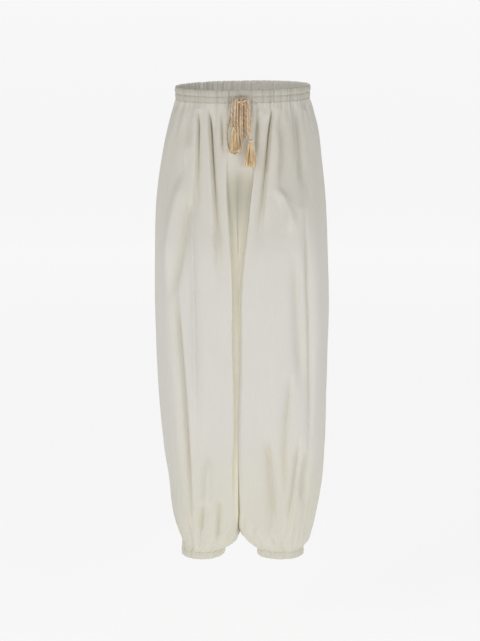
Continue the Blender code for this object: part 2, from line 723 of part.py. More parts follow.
def make_cord(name, route, ports, collection):
    """One free stretch of the drawstring."""
    points = cord_points(route, ports)
    return add_tube(name, points, CORD_DIAMETER, collection, new_material("rope_" + name, ROPE))


def make_mesh_from_curve(curve_object, name, collection):
    """Replace a curve object with a mesh object of the same shape and welded caps."""
    evaluated = curve_object.evaluated_get(bpy.context.evaluated_depsgraph_get())
    mesh = bpy.data.meshes.new_from_object(evaluated)
    bm = bmesh.new()
    bm.from_mesh(mesh)
    bmesh.ops.remove_doubles(bm, verts=bm.verts, dist=0.00001)
    bm.to_mesh(mesh)
    bm.free()
    thing = bpy.data.objects.new(name, mesh)
    thing.matrix_world = curve_object.matrix_world
    collection.objects.link(thing)
    bpy.data.objects.remove(curve_object, do_unlink=True)
    return thing


def make_knot(buttonholes, collection, cutters):
    """Bow knot in front of the band, with a short stub back into each buttonhole."""
    bm = bmesh.new()
    bmesh.ops.create_uvsphere(bm, u_segments=20, v_segments=12, radius=1.0)
    for vert in bm.verts:
        vert.co = Vector(
            (
                KNOT_CENTRE.x + vert.co.x * KNOT_HALF_SIZE.x,
                KNOT_CENTRE.y + vert.co.y * KNOT_HALF_SIZE.y,
                KNOT_CENTRE.z + vert.co.z * KNOT_HALF_SIZE.z,
            )
        )
    material = new_material("rope_knot", ROPE)
    knot = add_object("knot", bm, collection, material)
    for side_name, hole in buttonholes.items():
        start = hole + Vector((0, BUTTONHOLE_DEPTH - SEAM_GAP, 0))
        stub_points = [
            start,
            start - Vector((0, STRAIGHT_END, 0)),
            Vector((hole.x * STUB_BEND_SHARE, KNOT_CENTRE.y, KNOT_CENTRE.z)),
        ]
        stub_name = "stub_" + side_name
        tube = add_tube(stub_name, stub_points, STUB_DIAMETER, cutters, material)
        stub = make_mesh_from_curve(tube, stub_name + "_mesh", cutters)
        stub.hide_render = True
        stub.display_type = "WIRE"
        modifier = knot.modifiers.new(stub_name, "BOOLEAN")
        modifier.operation = "UNION"
        modifier.object = stub
    return knot


def tassel_top(route):
    """Place of a tassel's top, just below the end of its cord."""
    return route_places(route)[-1] - Vector((0, 0, STRAIGHT_END + SEAM_GAP))


def make_tassel_head(name, top, collection, material):
    """Turned head of a tassel: a round cap, a tight wrap and a flared root for the skirt."""
    places = [
        (point.radius * TASSEL_HEAD_RADIUS, 0.0, -point.depth * TASSEL_HEAD_HEIGHT)
        for point in HEAD_PROFILE
    ]
    mesh = bpy.data.meshes.new(name)
    mesh.from_pydata(places, [(i, i + 1) for i in range(len(places) - 1)], [])
    mesh.materials.append(material)
    head = bpy.data.objects.new(name, mesh)
    head.location = top
    collection.objects.link(head)
    turned = head.modifiers.new("turned", "SCREW")
    turned.steps = 14
    turned.render_steps = 14
    turned.use_merge_vertices = True
    turned.merge_threshold = 0.0001
    turned.use_smooth_shade = True
    return head


def make_tassel_skirt(name, top, size, cutters):
    """Loose strands that leave the head in a spiral layout and spread out downwards."""
    curve = bpy.data.curves.new(name, "CURVE")
    curve.dimensions = "3D"
    curve.bevel_depth = STRAND_RADIUS
    curve.bevel_resolution = 0
    curve.use_fill_caps = True
    golden_turn = math.pi * (3 - math.sqrt(5))
    base_height = top.z - TASSEL_HEAD_HEIGHT
    for index in range(STRANDS_A_TASSEL):
        share = math.sqrt((index + 0.5) / STRANDS_A_TASSEL)
        across = share * math.cos(index * golden_turn)
        forward = share * math.sin(index * golden_turn)
        shorter = STRAND_SHORTEST * (0.5 + 0.5 * math.sin(2.3 * index))
        length = size.skirt_length * (1 - shorter)
        spline = curve.splines.new("POLY")
        spline.points.add(2)
        root = (
            top.x + across * TASSEL_ROOT_RADIUS,
            top.y + forward * TASSEL_ROOT_RADIUS,
            base_height + STRAND_ROOT_RISE,
        )
        spline.points[0].co = (*root, 1.0)
        spline.points[0].radius = 0.9
        for spline_point, level in zip(spline.points[1:], (SKIRT_MIDDLE, SKIRT_END)):
            place = (
                top.x + across * level.across * size.half_width,
                top.y + forward * level.forward * size.half_depth - level.lean * size.lean,
                base_height - level.down * length,
            )
            spline_point.co = (*place, 1.0)
            spline_point.radius = level.thickness
    strands = bpy.data.objects.new(name, curve)
    cutters.objects.link(strands)
    return make_mesh_from_curve(strands, name + "_mesh", cutters)


def make_tassel(leg, route, collection, cutters):
    """Tassel of one free end: a head with its skirt fused to it."""
    name = "tassel_" + leg
    top = tassel_top(route)
    head = make_tassel_head(name, top, collection, new_material("yarn_" + leg, YARN))
    skirt = make_tassel_skirt("skirt_" + leg, top, TASSELS[leg], cutters)
    skirt.hide_render = True
    skirt.display_type = "WIRE"
    fused = head.modifiers.new("fused", "BOOLEAN")
    fused.operation = "UNION"
    fused.object = skirt
    return head


def make_trousers():
    """Build every piece."""
    clear_scene()
    trousers = new_collection("drawstring_trousers")
    cutters = new_collection("cutters")
    for leg in SIDES:
        for face_name in FACES:
            make_panel(leg, face_name, trousers)
        make_cuff(leg, trousers)
    buttonholes = make_waistband(trousers, cutters)
    make_knot(buttonholes, trousers, cutters)
    make_cord("loop_right", LOOP_RIGHT, LOOP_RIGHT_PORTS, trousers)
    make_cord("loop_left", LOOP_LEFT, LOOP_LEFT_PORTS, trousers)
    make_cord("end_right", END_RIGHT, [END_RIGHT_PORT], trousers)
    make_cord("end_left", END_LEFT, [END_LEFT_PORT], trousers)
    make_tassel("right", END_RIGHT, trousers, cutters)
    make_tassel("left", END_LEFT, trousers, cutters)


make_trousers()
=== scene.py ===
"""Looks of the drawstring trousers: cotton shells, casings, rope, tassels, lights and camera.

Metres, +Z up, front towards -Y, origin at the centre of the waist opening. A place on the cloth
is given by its drop below the origin and its share across one panel: 0 at the centre seam or
inseam, 1 at the side seam. The wearer's right leg lies on the -X side.
"""

import math
from collections import namedtuple

import bpy
import numpy as np
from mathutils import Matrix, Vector


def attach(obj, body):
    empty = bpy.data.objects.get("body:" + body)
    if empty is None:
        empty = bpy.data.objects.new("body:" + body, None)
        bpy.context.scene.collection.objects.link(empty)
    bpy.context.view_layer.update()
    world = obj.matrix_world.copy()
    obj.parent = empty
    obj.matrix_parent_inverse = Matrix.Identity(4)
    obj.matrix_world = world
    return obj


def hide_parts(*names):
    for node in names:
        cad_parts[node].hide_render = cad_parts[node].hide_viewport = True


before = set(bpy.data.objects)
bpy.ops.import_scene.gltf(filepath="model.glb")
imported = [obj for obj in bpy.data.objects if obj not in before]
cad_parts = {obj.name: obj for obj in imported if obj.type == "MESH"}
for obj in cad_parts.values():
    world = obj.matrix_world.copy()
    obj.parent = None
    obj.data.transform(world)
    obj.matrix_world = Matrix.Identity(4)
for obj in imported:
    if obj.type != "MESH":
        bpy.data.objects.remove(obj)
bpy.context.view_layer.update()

# Sizes that the solids share
SEAM_GAP = 0.0003
BAND_TOP = 0.0175
BAND_BOTTOM = -0.0105
PANEL_TOP = SEAM_GAP - BAND_BOTTOM
PANEL_HEM = 1.0030
CUFF_HEIGHT = 0.0165
CROTCH_DROP = 0.335
PARTING_SWAY = 0.0045
SWAY_LENGTH = 0.0350
SWAY_REACH = 0.0500
BACK_RISE = 0.070
LEFT_RISE = 0.014
RISE_FADES_BY = 0.25
GATHERS_A_PANEL = 7
WAIST_GATHER_DEPTH = 0.0024
CUFF_GATHER_DEPTH = 0.0030
GATHER_SLOW_DRIFT = 0.011
GATHER_QUICK_DRIFT = 0.008
GATHER_UNEVENNESS = 0.35
CORD_DIAMETER = 0.0040
STRAIGHT_END = 0.0040
TORSO_SQUARENESS = 2.15
LEGS_PART_POWER = 2.2
HIP_EASE = 0.2

# Sizes of the cotton shells. The legs are closer together than in the solids, whose walls are thicker
SHELL = 0.0007
TUCKED_IN = 0.0012
LEG_PARTING = 0.0003
WAIST_GATHER_REACH = 0.045
CUFF_GATHER_REACH = 0.050
SHORT_CREASE_DEPTH = 0.0038
SHORT_CREASE_WIDENS_BY = 0.035
EDGE_PINCH = 0.0014
SEAM_CALM = 0.014
LEVEL_BY_SEAM = 0.012
PARTING_CALM_START = 0.0015
PARTING_CALM_WIDTH = 0.006
STITCH_LENGTH = 0.0016
STITCH_RADIUS = 0.00022
STITCH_SPACING = 0.0026
STITCH_SINK = 0.0012
CASING_LEAN = 0.0012

# How fine the grids are, and how much closer together a panel's columns lie by folds and corners
OUTLINE_SAMPLES = 1201
PANEL_COLUMNS = 264
PANEL_ROWS = 166
ROW_BUNCHING = 0.10
RING_STATIONS = 1600
CROWDING_SAMPLES = 500
FOLD_CROWDING = 5
FOLD_CROWDING_REACH = 0.006
SHARP_CORNER = 0.2
CORNER_CROWDING = 9
NEAR_CORNER_CROWDING = 6
ROWS_SMOOTHED = 9
CURVE_SAMPLES = 24
LINE_STEP = 0.0012
TUBE_UV_WIDTH = 0.003
TUBE_UV_STEP = 0.0137

# Half widths to each side, the parting between the legs, and half depths, for each drop
Section = namedtuple("Section", "drop right left parting front back")
SECTIONS = [
    Section(0.000, 0.1375, 0.1430, 0.0030, 0.1000, 0.1020),
    Section(0.012, 0.1410, 0.1460, 0.0028, 0.1015, 0.1040),
    Section(0.040, 0.1500, 0.1540, 0.0018, 0.1060, 0.1090),
    Section(0.080, 0.1605, 0.1635, -0.0010, 0.1100, 0.1160),
    Section(0.140, 0.1710, 0.1705, -0.0045, 0.1150, 0.1260),
    Section(0.220, 0.1800, 0.1775, -0.0075, 0.1190, 0.1310),
    Section(0.330, 0.1845, 0.1825, -0.0065, 0.1220, 0.1310),
    Section(0.450, 0.1870, 0.1860, -0.0035, 0.1230, 0.1280),
    Section(0.560, 0.1830, 0.1850, -0.0035, 0.1220, 0.1250),
    Section(0.670, 0.1765, 0.1845, -0.0060, 0.1190, 0.1210),
    Section(0.760, 0.1695, 0.1805, -0.0065, 0.1130, 0.1150),
    Section(0.850, 0.1580, 0.1745, -0.0050, 0.1020, 0.1040),
    Section(0.920, 0.1505, 0.1650, -0.0030, 0.0880, 0.0900),
    Section(0.965, 0.1415, 0.1545, -0.0010, 0.0740, 0.0760),
    Section(0.990, 0.1345, 0.1460, 0.0000, 0.0620, 0.0640),
    Section(1.003, 0.1335, 0.1390, 0.0000, 0.0530, 0.0530),
]

# How far each leg's inner side draws back from the parting above the cuff
InnerSide = namedtuple("InnerSide", "drop inset")
INNER_SIDE = [
    InnerSide(0.300, 0.0000),
    InnerSide(0.900, 0.0000),
    InnerSide(0.930, 0.0000),
    InnerSide(0.955, 0.0008),
    InnerSide(0.974, 0.0040),
    InnerSide(0.983, 0.0085),
    InnerSide(0.993, 0.0170),
    InnerSide(1.003, 0.0370),
]

# How boxy a leg's section is on its inner and outer half: 2 is an ellipse
Squareness = namedtuple("Squareness", "drop inner outer")
SQUARENESS = [
    Squareness(0.100, 8.0, 2.3),
    Squareness(0.335, 24.0, 2.3),
    Squareness(0.600, 24.0, 2.3),
    Squareness(0.800, 20.0, 2.3),
    Squareness(0.880, 14.0, 2.3),
    Squareness(0.930, 8.0, 2.2),
    Squareness(0.950, 4.5, 2.1),
    Squareness(0.970, 2.5, 2.1),
    Squareness(1.003, 2.0, 2.0),
]

# The sunken strip between the legs: how far it reaches to each side of the parting, and its depth
Valley = namedtuple("Valley", "drop right left depth")
VALLEY = [
    Valley(0.090, 0.0300, 0.0320, 0.0000),
    Valley(0.175, 0.0270, 0.0300, 0.0150),
    Valley(0.240, 0.0230, 0.0235, 0.0250),
    Valley(0.300, 0.0195, 0.0180, 0.0320),
    Valley(0.362, 0.0185, 0.0105, 0.0350),
    Valley(0.423, 0.0185, 0.0055, 0.0350),
    Valley(0.535, 0.0180, 0.0000, 0.0330),
    Valley(0.622, 0.0130, 0.0000, 0.0290),
    Valley(0.730, 0.0105, 0.0000, 0.0240),
    Valley(0.805, 0.0135, 0.0000, 0.0180),
    Valley(0.882, 0.0110, 0.0020, 0.0080),
    Valley(0.935, 0.0060, 0.0020, 0.0000),
]
VALLEY_WALL = 0.0050
VALLEY_SHARE = 0.42
VALLEY_END = 0.945
VALLEY_CLOSES_WITHIN = 0.05
SEAM_CORNER = 0.0006

# Each fold runs down one panel through three places across from the middle of the garment. A
# negative height is a hollow. The form is trough, crease, pleat, steep on its outer side, or lap,
# steep on its inner side
Fold = namedtuple(
    "Fold", "form leg face start end across_start across_middle across_end height width"
)
FOLDS = [
    Fold("pleat", "right", "front", 0.010, 0.420, 0.0700, 0.0555, 0.0445, -0.0088, 0.011),
    Fold("pleat", "right", "front", 0.010, 0.290, 0.0905, 0.0930, 0.0975, -0.0062, 0.009),
    Fold("crease", "right", "front", 0.010, 0.125, 0.0430, 0.0410, 0.0380, -0.0046, 0.006),
    Fold("trough", "right", "front", 0.010, 0.110, 0.1120, 0.1140, 0.1150, -0.0030, 0.010),
    Fold("trough", "right", "front", 0.150, 0.400, 0.1180, 0.1480, 0.1600, 0.0035, 0.013),
    Fold("trough", "right", "front", 0.190, 0.440, 0.1010, 0.1270, 0.1550, -0.0045, 0.012),
    Fold("lap", "right", "front", 0.350, 0.985, 0.1430, 0.1190, 0.1080, -0.0090, 0.012),
    Fold("crease", "right", "front", 0.180, 0.760, 0.1045, 0.1000, 0.0970, 0.0036, 0.009),
    Fold("trough", "right", "front", 0.770, 0.900, 0.0700, 0.0740, 0.0770, 0.0030, 0.010),
    Fold("crease", "right", "front", 0.870, 0.985, 0.0830, 0.0870, 0.0930, -0.0040, 0.010),
    Fold("crease", "right", "front", 0.860, 0.990, 0.0460, 0.0500, 0.0520, -0.0045, 0.010),
    Fold("pleat", "left", "front", 0.010, 0.340, 0.0660, 0.0500, 0.0340, -0.0088, 0.011),
    Fold("crease", "left", "front", 0.010, 0.130, 0.0325, 0.0320, 0.0290, -0.0048, 0.005),
    Fold("trough", "left", "front", 0.010, 0.210, 0.0760, 0.0880, 0.0800, -0.0035, 0.010),
    Fold("trough", "left", "front", 0.010, 0.200, 0.1150, 0.1230, 0.1300, -0.0035, 0.011),
    Fold("trough", "left", "front", 0.185, 0.290, 0.0700, 0.0990, 0.1050, 0.0030, 0.010),
    Fold("crease", "left", "front", 0.210, 0.830, 0.1320, 0.1480, 0.1460, -0.0040, 0.010),
    Fold("trough", "left", "front", 0.310, 0.660, 0.1140, 0.1220, 0.1350, -0.0030, 0.014),
    Fold("crease", "left", "front", 0.700, 0.965, 0.0510, 0.0640, 0.0730, -0.0056, 0.014),
    Fold("crease", "left", "front", 0.570, 0.900, 0.1080, 0.0940, 0.0970, -0.0052, 0.014),
    Fold("crease", "left", "front", 0.720, 0.960, 0.1290, 0.1145, 0.0970, -0.0051, 0.013),
    Fold("trough", "left", "front", 0.755, 0.895, 0.1490, 0.1390, 0.1360, -0.0035, 0.010),
    Fold("pleat", "right", "back", 0.010, 0.400, 0.0580, 0.0620, 0.0700, -0.0065, 0.012),
    Fold("trough", "right", "back", 0.010, 0.240, 0.1040, 0.1000, 0.0920, -0.0045, 0.011),
    Fold("trough", "right", "back", 0.250, 0.700, 0.1300, 0.1200, 0.1050, -0.0045, 0.014),
    Fold("trough", "right", "back", 0.560, 0.950, 0.0500, 0.0620, 0.0800, -0.0050, 0.013),
    Fold("trough", "right", "back", 0.800, 0.980, 0.1250, 0.1150, 0.1050, -0.0045, 0.011),
    Fold("pleat", "left", "back", 0.010, 0.360, 0.0640, 0.0700, 0.0800, -0.0065, 0.012),
    Fold("trough", "left", "back", 0.010, 0.280, 0.1120, 0.1080, 0.1060, -0.0045, 0.011),
    Fold("trough", "left", "back", 0.300, 0.760, 0.1180, 0.1080, 0.0920, -0.0045, 0.014),
    Fold("trough", "left", "back", 0.620, 0.960, 0.1380, 0.1280, 0.1200, -0.0050, 0.013),
    Fold("trough", "left", "back", 0.820, 0.985, 0.0600, 0.0660, 0.0700, -0.0045, 0.011),
]
FOLD_GAIN = 2.9
PLEAT_GAIN = 2.1
PLEAT_OPENS_WITHIN = 0.055
FOLD_FADES_IN = 0.25
FOLD_FADES_OUT = 0.35
SEAM_MARGIN = 0.06

SIDES = {"right": -1, "left": 1}
FACES = {"front": -1, "back": 1}
SIDE_COLUMN = {-1: "right", 1: "left"}
FACE_COLUMN = {-1: "front", 1: "back"}

# Short creases along the panels' edges: how many a panel has, their widths and longest reach
CreaseRow = namedtuple("CreaseRow", "seed count narrow wide reach")
CREASE_ROWS = {
    "waist": CreaseRow(40, 25, 0.0010, 0.0026, 0.055),
    "lining": CreaseRow(80, 15, 0.0009, 0.0018, 0.020),
    "cuff": CreaseRow(60, 17, 0.0015, 0.0034, 0.090),
    "cuff_lining": CreaseRow(90, 9, 0.0015, 0.0030, 0.020),
}
SHORTEST_CREASE = 0.012

# Low waves of the cloth, so many times longer up and down than across
Waves = namedtuple("Waves", "seed wavelength stretch height")
BROAD_WAVES = Waves(11, 0.110, 6.0, 0.0016)
DRAPES = Waves(12, 0.050, 9.0, 0.0011)
CRUMPLES = Waves(13, 0.024, 3.5, 0.0011)
SINES_A_WAVE = 14
CRUMPLED_BY_WAIST = 0.045
CRUMPLED_BY_CUFF = 0.080

# Routes of the drawstring below the knot: across, drop, and how far it lies in front of the cloth
RoutePoint = namedtuple("RoutePoint", "across drop clear")
LOOP_RIGHT = [
    RoutePoint(-0.0205, 0.0380, 0.0050),
    RoutePoint(-0.0275, 0.0560, 0.0040),
    RoutePoint(-0.0315, 0.0780, 0.0038),
    RoutePoint(-0.0300, 0.1000, 0.0038),
    RoutePoint(-0.0240, 0.1160, 0.0038),
    RoutePoint(-0.0135, 0.1220, 0.0038),
    RoutePoint(-0.0045, 0.1140, 0.0038),
    RoutePoint(-0.0015, 0.0950, 0.0038),
    RoutePoint(-0.0020, 0.0700, 0.0040),
    RoutePoint(-0.0030, 0.0450, 0.0048),
]
LOOP_LEFT = [
    RoutePoint(0.0032, 0.0440, 0.0045),
    RoutePoint(0.0045, 0.0590, 0.0040),
    RoutePoint(0.0088, 0.0675, 0.0038),
    RoutePoint(0.0130, 0.0590, 0.0040),
    RoutePoint(0.0125, 0.0440, 0.0045),
]
END_RIGHT = [
    RoutePoint(-0.0095, 0.0350, 0.0105),
    RoutePoint(-0.0115, 0.0420, 0.0122),
]
END_LEFT = [
    RoutePoint(0.0165, 0.0400, 0.0105),
    RoutePoint(0.0200, 0.0580, 0.0114),
    RoutePoint(0.0195, 0.0740, 0.0120),
    RoutePoint(0.0185, 0.0860, 0.0122),
]
KNOT_CENTRE = Vector((0.0010, -0.1120, -0.0160))

# One half of the drawstring: its buttonhole, its routes, and where each stretch leaves the knot
Half = namedtuple("Half", "hole loop loop_ports end end_port")
HALVES = {
    "right": Half(
        Vector((-0.0085, -0.1030, -0.0098)),
        LOOP_RIGHT,
        [Vector((-0.0100, -0.1096, -0.0215)), Vector((-0.0036, -0.1094, -0.0234))],
        END_RIGHT,
        Vector((-0.0066, -0.1146, -0.0226)),
    ),
    "left": Half(
        Vector((0.0085, -0.1030, -0.0098)),
        LOOP_LEFT,
        [Vector((0.0030, -0.1094, -0.0236)), Vector((0.0102, -0.1096, -0.0220))],
        END_LEFT,
        Vector((0.0092, -0.1144, -0.0222)),
    ),
}

# Turns of the bow that hang from the knot in front of the loops: across and forward places of
# each side, and the drop that the turn hangs down to
BowTurn = namedtuple("BowTurn", "down_across up_across forward drop")
BOW_TURNS = [
    BowTurn(-0.0150, -0.0200, -0.1195, 0.0640),
    BowTurn(-0.0085, -0.0135, -0.1240, 0.0760),
    BowTurn(-0.0048, -0.0092, -0.1180, 0.0600),
    BowTurn(-0.0022, 0.0014, -0.1225, 0.0880),
    BowTurn(0.0072, 0.0108, -0.1172, 0.0900),
    BowTurn(0.0128, 0.0162, -0.1205, 0.0800),
]
BOW_ROPE = 0.0038
BOW_SAG = 0.004
BOW_BEND = 0.006
BOW_TOP = 0.0085
BOW_STATIONS = 90

# Turns wound round the bundle: nearly two times round, a little higher with each
Wind = namedtuple("Wind", "half_width half_depth lift tilt")
WINDS = [
    Wind(0.0118, 0.0044, 0.0010, 0.0030),
    Wind(0.0100, 0.0040, -0.0036, -0.0016),
    Wind(0.0138, 0.0090, 0.0016, 0.0022),
]
WIND_TURNS = 1.96
WIND_CLIMB = 0.0012
WIND_ROPE = 0.0038

# How strands are laid in a rope: the strand's radius and its distance from the middle, in rope
# diameters, a direction that is never along the rope, and whether rings are square to the strand
Lay = namedtuple("Lay", "radius offset upright square")
HANGING_LAY = Lay(0.25, 0.25, (0.0, 1.0, 0.0), True)
WOUND_LAY = Lay(0.27, 0.235, (0.0, 0.0, 1.0), False)
STRANDS = 3
STRAND_PITCH = 0.012
STRAND_SIDES = 8

TasselSize = namedtuple("TasselSize", "skirt_length half_width half_depth lean")
TASSELS = {
    "right": TasselSize(0.066, 0.0125, 0.0066, 0.0085),
    "left": TasselSize(0.052, 0.0112, 0.0064, 0.0050),
}
TASSEL_HEAD_HEIGHT = 0.0095
TASSEL_HEAD_RADIUS = 0.0050
THREADS_A_TASSEL = 230
LOCKS_A_TASSEL = 15
LOCK_PULL = 0.74
THREAD_STATIONS = 14
THREAD_RADIUS = 0.00048
THREAD_SHORTENING = 0.11
THREAD_WAVE = 0.0010
THREAD_WAVE_FORWARD = 0.0007
SKIRT_OPENING_POWER = 1.7

# Outline of a tassel's head, in shares of its height, from the top, and of its radius
HeadPoint = namedtuple("HeadPoint", "level radius")
HEAD_PROFILE = [
    HeadPoint(0.00, 0.10),
    HeadPoint(0.04, 0.48),
    HeadPoint(0.16, 0.86),
    HeadPoint(0.40, 0.98),
    HeadPoint(0.55, 0.80),
    HeadPoint(0.74, 0.80),
    HeadPoint(0.90, 0.94),
    HeadPoint(1.00, 0.98),
]

# The camera at the photograph's angle
CAMERA_PLACE = Vector((-0.0030, -3.5000, 0.1172))
CAMERA_TARGET = Vector((-0.0030, 0.0, -0.4924))
CAMERA_LENS = 91.2

# Square area lights, with their side and power, and the strength of the white surroundings
Light = namedtuple("Light", "name place target size power")
LIGHTS = [
    Light("key", (-2.2, -2.5, 0.8), (0, 0, -0.4), 1.0, 21),
    Light("fill", (2.1, -2.6, 0.0), (0, 0, -0.6), 1.2, 13.5),
    Light("low", (0.3, -2.4, -1.0), (0, 0, -0.8), 1.0, 7.5),
]
SURROUNDINGS = 0.38

# Shares of the cotton's colour in places: red, green and blue
# Painted shade on the hips, greyer than the legs
HIP_PAINTED_SHADE = (0.950, 0.940, 0.905)
# Painted bounce light in the strip between the legs; STRIP_SHADE is painted shade above the crotch
STRIP_PAINTED_BOUNCE_LIGHT = (1.06, 1.050, 0.96)
STRIP_SHADE = 0.24
# Painted shade, creamier and darker, by the hems
HEM_PAINTED_SHADE = (0.965, 0.960, 0.890)
# Painted shade over the left pocket bag
POCKET_PAINTED_SHADE = (0.91, 0.91, 0.91)
# Painted shade, creamier, deep in the folds
FOLD_PAINTED_SHADE = (0.985, 0.980, 0.925)
DEEP_FOLD = 0.016


def turn_towards(place, target):
    """Turn of a camera or light at a place that looks at a target."""
    return (Vector(target) - Vector(place)).to_track_quat("-Z", "Y").to_euler()


def make_camera():
    """Camera at the photograph's angle."""
    data = bpy.data.cameras.new("camera")
    data.lens = CAMERA_LENS
    data.sensor_width = 36.0
    camera = bpy.data.objects.new("camera", data)
    camera.location = CAMERA_PLACE
    camera.rotation_euler = turn_towards(CAMERA_PLACE, CAMERA_TARGET)
    bpy.context.scene.collection.objects.link(camera)
    bpy.context.scene.camera = camera


def smooth_between(place, places, values):
    """Read a table at any places, along smooth Hermite curves through its rows."""
    places = np.asarray(places, float)
    values = np.asarray(values, float)
    slopes = np.gradient(values, places)
    row = np.clip(np.searchsorted(places, place) - 1, 0, len(places) - 2)
    step = places[row + 1] - places[row]
    part = np.clip((place - places[row]) / step, 0.0, 1.0)
    start = (1 + 2 * part) * (1 - part) ** 2 * values[row]
    start_slope = part * (1 - part) ** 2 * step * slopes[row]
    end = part * part * (3 - 2 * part) * values[row + 1]
    end_slope = part * part * (part - 1) * step * slopes[row + 1]
    return start + start_slope + end + end_slope


def read_table(rows, column, drop):
    """Value of one named column of a table at these drops."""
    return smooth_between(drop, [row.drop for row in rows], [getattr(row, column) for row in rows])


def soft_step(value):
    """Rise from 0 to 1 with level ends as the value goes from 0 to 1."""
    value = np.clip(value, 0.0, 1.0)
    return value * value * (3 - 2 * value)


def bell(value):
    """Bell curve: 1 at 0, and exp(-1) at 1 and -1."""
    return np.exp(-(value**2))


def unit(vectors):
    """Directions of one unit's length."""
    return vectors / np.linalg.norm(vectors, axis=-1, keepdims=True)


def distances(points):
    """Distance along a line of points to each of them."""
    steps = np.linalg.norm(np.diff(points, axis=0), axis=1)
    return np.concatenate([[0.0], np.cumsum(steps)])


def closed(values):
    """Values round a ring with the first one once more at the end."""
    return np.concatenate([values, values[:1]])


def read_line(wanted, along, values):
    """Vectors along a line, read at wanted distances along it."""
    return np.stack([np.interp(wanted, along, column) for column in values.T], axis=-1)


def half_outlines(side, face, drops, turns):
    """Outlines of one panel's side of the garment, a row for each drop.

    The hips are a superellipse round the whole body, x = outer * sin, y = depth * cos, and each leg
    is a superellipse of its own. The outline goes from the first to the second down to the crotch,
    and its fullest part keeps the same depth on the way. The legs' inner sides sway together by a
    sine of the depth.
    """
    drops = drops[:, None]
    outer = read_table(SECTIONS, SIDE_COLUMN[side], drops)
    depth = read_table(SECTIONS, FACE_COLUMN[face], drops)
    parting = side * read_table(SECTIONS, "parting", drops)
    inner = parting + LEG_PARTING / 2 + np.maximum(0.0, read_table(INNER_SIDE, "inset", drops))
    parted = np.clip(drops / CROTCH_DROP, 0.0, 1.0) ** LEGS_PART_POWER

    angle = turns * soft_step(turns / HIP_EASE) * math.pi / 2
    power = 2 / TORSO_SQUARENESS
    hip_across = parting + (outer - parting) * np.sin(angle) ** power
    hip_depth = depth * np.abs(np.cos(angle)) ** power

    around = turns * math.pi
    centre = (outer + inner) / 2
    half_width = (outer - inner) / 2
    inner_power = 2 / read_table(SQUARENESS, "inner", drops)
    outer_power = 2 / read_table(SQUARENESS, "outer", drops)
    power = np.where(np.cos(around) > 0, inner_power, outer_power)
    leg_across = centre - half_width * np.sign(np.cos(around)) * np.abs(np.cos(around)) ** power
    leg_depth = depth * np.abs(np.sin(around)) ** power

    across = (1 - parted) * hip_across + parted * leg_across
    forward = (1 - parted) * hip_depth + parted * leg_depth
    forward *= depth / forward.max(axis=1, keepdims=True)
    if FACE_COLUMN[face] == "front":
        reach = read_table(VALLEY, SIDE_COLUMN[side], drops)
        floor = depth - VALLEY_SHARE * read_table(VALLEY, "depth", drops)
        sunken = soft_step((reach - (across - inner)) / VALLEY_WALL)
        filled = soft_step((across - inner) / SEAM_CORNER)
        filled = filled * soft_step((VALLEY_END - drops) / VALLEY_CLOSES_WITHIN)
        rise = np.maximum(0.0, floor - forward) * filled
        forward += sunken * (rise - np.maximum(0.0, forward - floor))
    nearness = soft_step(1 - (across - inner) / SWAY_REACH)
    sway = parted * PARTING_SWAY * nearness * np.sin(face * forward / SWAY_LENGTH)
    return side * across + sway, face * forward


def read_rows(places, known, values):
    """Read one rising row of known places for each row of places, all at once.

    Row number plus place, as a share of 1, rises all along the flattened arrays.
    """
    rows = np.arange(len(known))[:, None]
    keep = 1 - 1e-9
    asked = rows + np.clip(places, 0, 1) * keep
    return np.interp(asked, (rows + known * keep).ravel(), np.broadcast_to(values, known.shape).ravel())


def smooth_cloth(side, face, shares, drops):
    """Grid of points on the cloth before folds, and each row's length across.

    Each outline is read at shares of its own length; shares has one row, or one for each drop.
    """
    turns = (1 - np.cos(np.linspace(0, math.pi, OUTLINE_SAMPLES))) / 2
    across, forward = half_outlines(side, face, drops, turns)
    steps = np.hypot(np.diff(across, axis=1), np.diff(forward, axis=1))
    along = np.concatenate([np.zeros((len(drops), 1)), np.cumsum(steps, axis=1)], axis=1)
    lengths = along[:, -1:]
    edge = SEAM_GAP / 2 / lengths
    wanted = edge + (1 - 2 * edge) * np.atleast_2d(shares)
    points = np.empty(wanted.shape + (3,))
    points[..., 0] = read_rows(wanted, along / lengths, across)
    points[..., 1] = read_rows(wanted, along / lengths, forward)
    points[..., 2] = -drops[:, None]
    return points, lengths


def folds_of(side, face):
    """The rows of the fold table that lie on one panel."""
    return [fold for fold in FOLDS if SIDES[fold.leg] == side and FACES[fold.face] == face]


def fold_line(fold, side, drops, base, shares):
    """A fold's share on each row, and how strongly it shows there, from 0 to 1."""
    down = (drops[:, None] - fold.start) / (fold.end - fold.start)
    places_down = [fold.across_start, fold.across_middle, fold.across_end]
    places = smooth_between(np.clip(down, 0, 1), [0.0, 0.5, 1.0], places_down)
    rising = np.maximum.accumulate(side * base[..., 0], axis=1)
    low = rising[:, :1]
    span = rising[:, -1:] - low
    line = read_rows((places - low) / span, (rising - low) / span, shares)
    if fold.start < PANEL_TOP:
        fade_in = soft_step((drops[:, None] - PANEL_TOP) / PLEAT_OPENS_WITHIN)
    else:
        fade_in = soft_step(down / FOLD_FADES_IN)
    return line, (down > 0) * (down < 1) * fade_in * soft_step((1 - down) / FOLD_FADES_OUT)


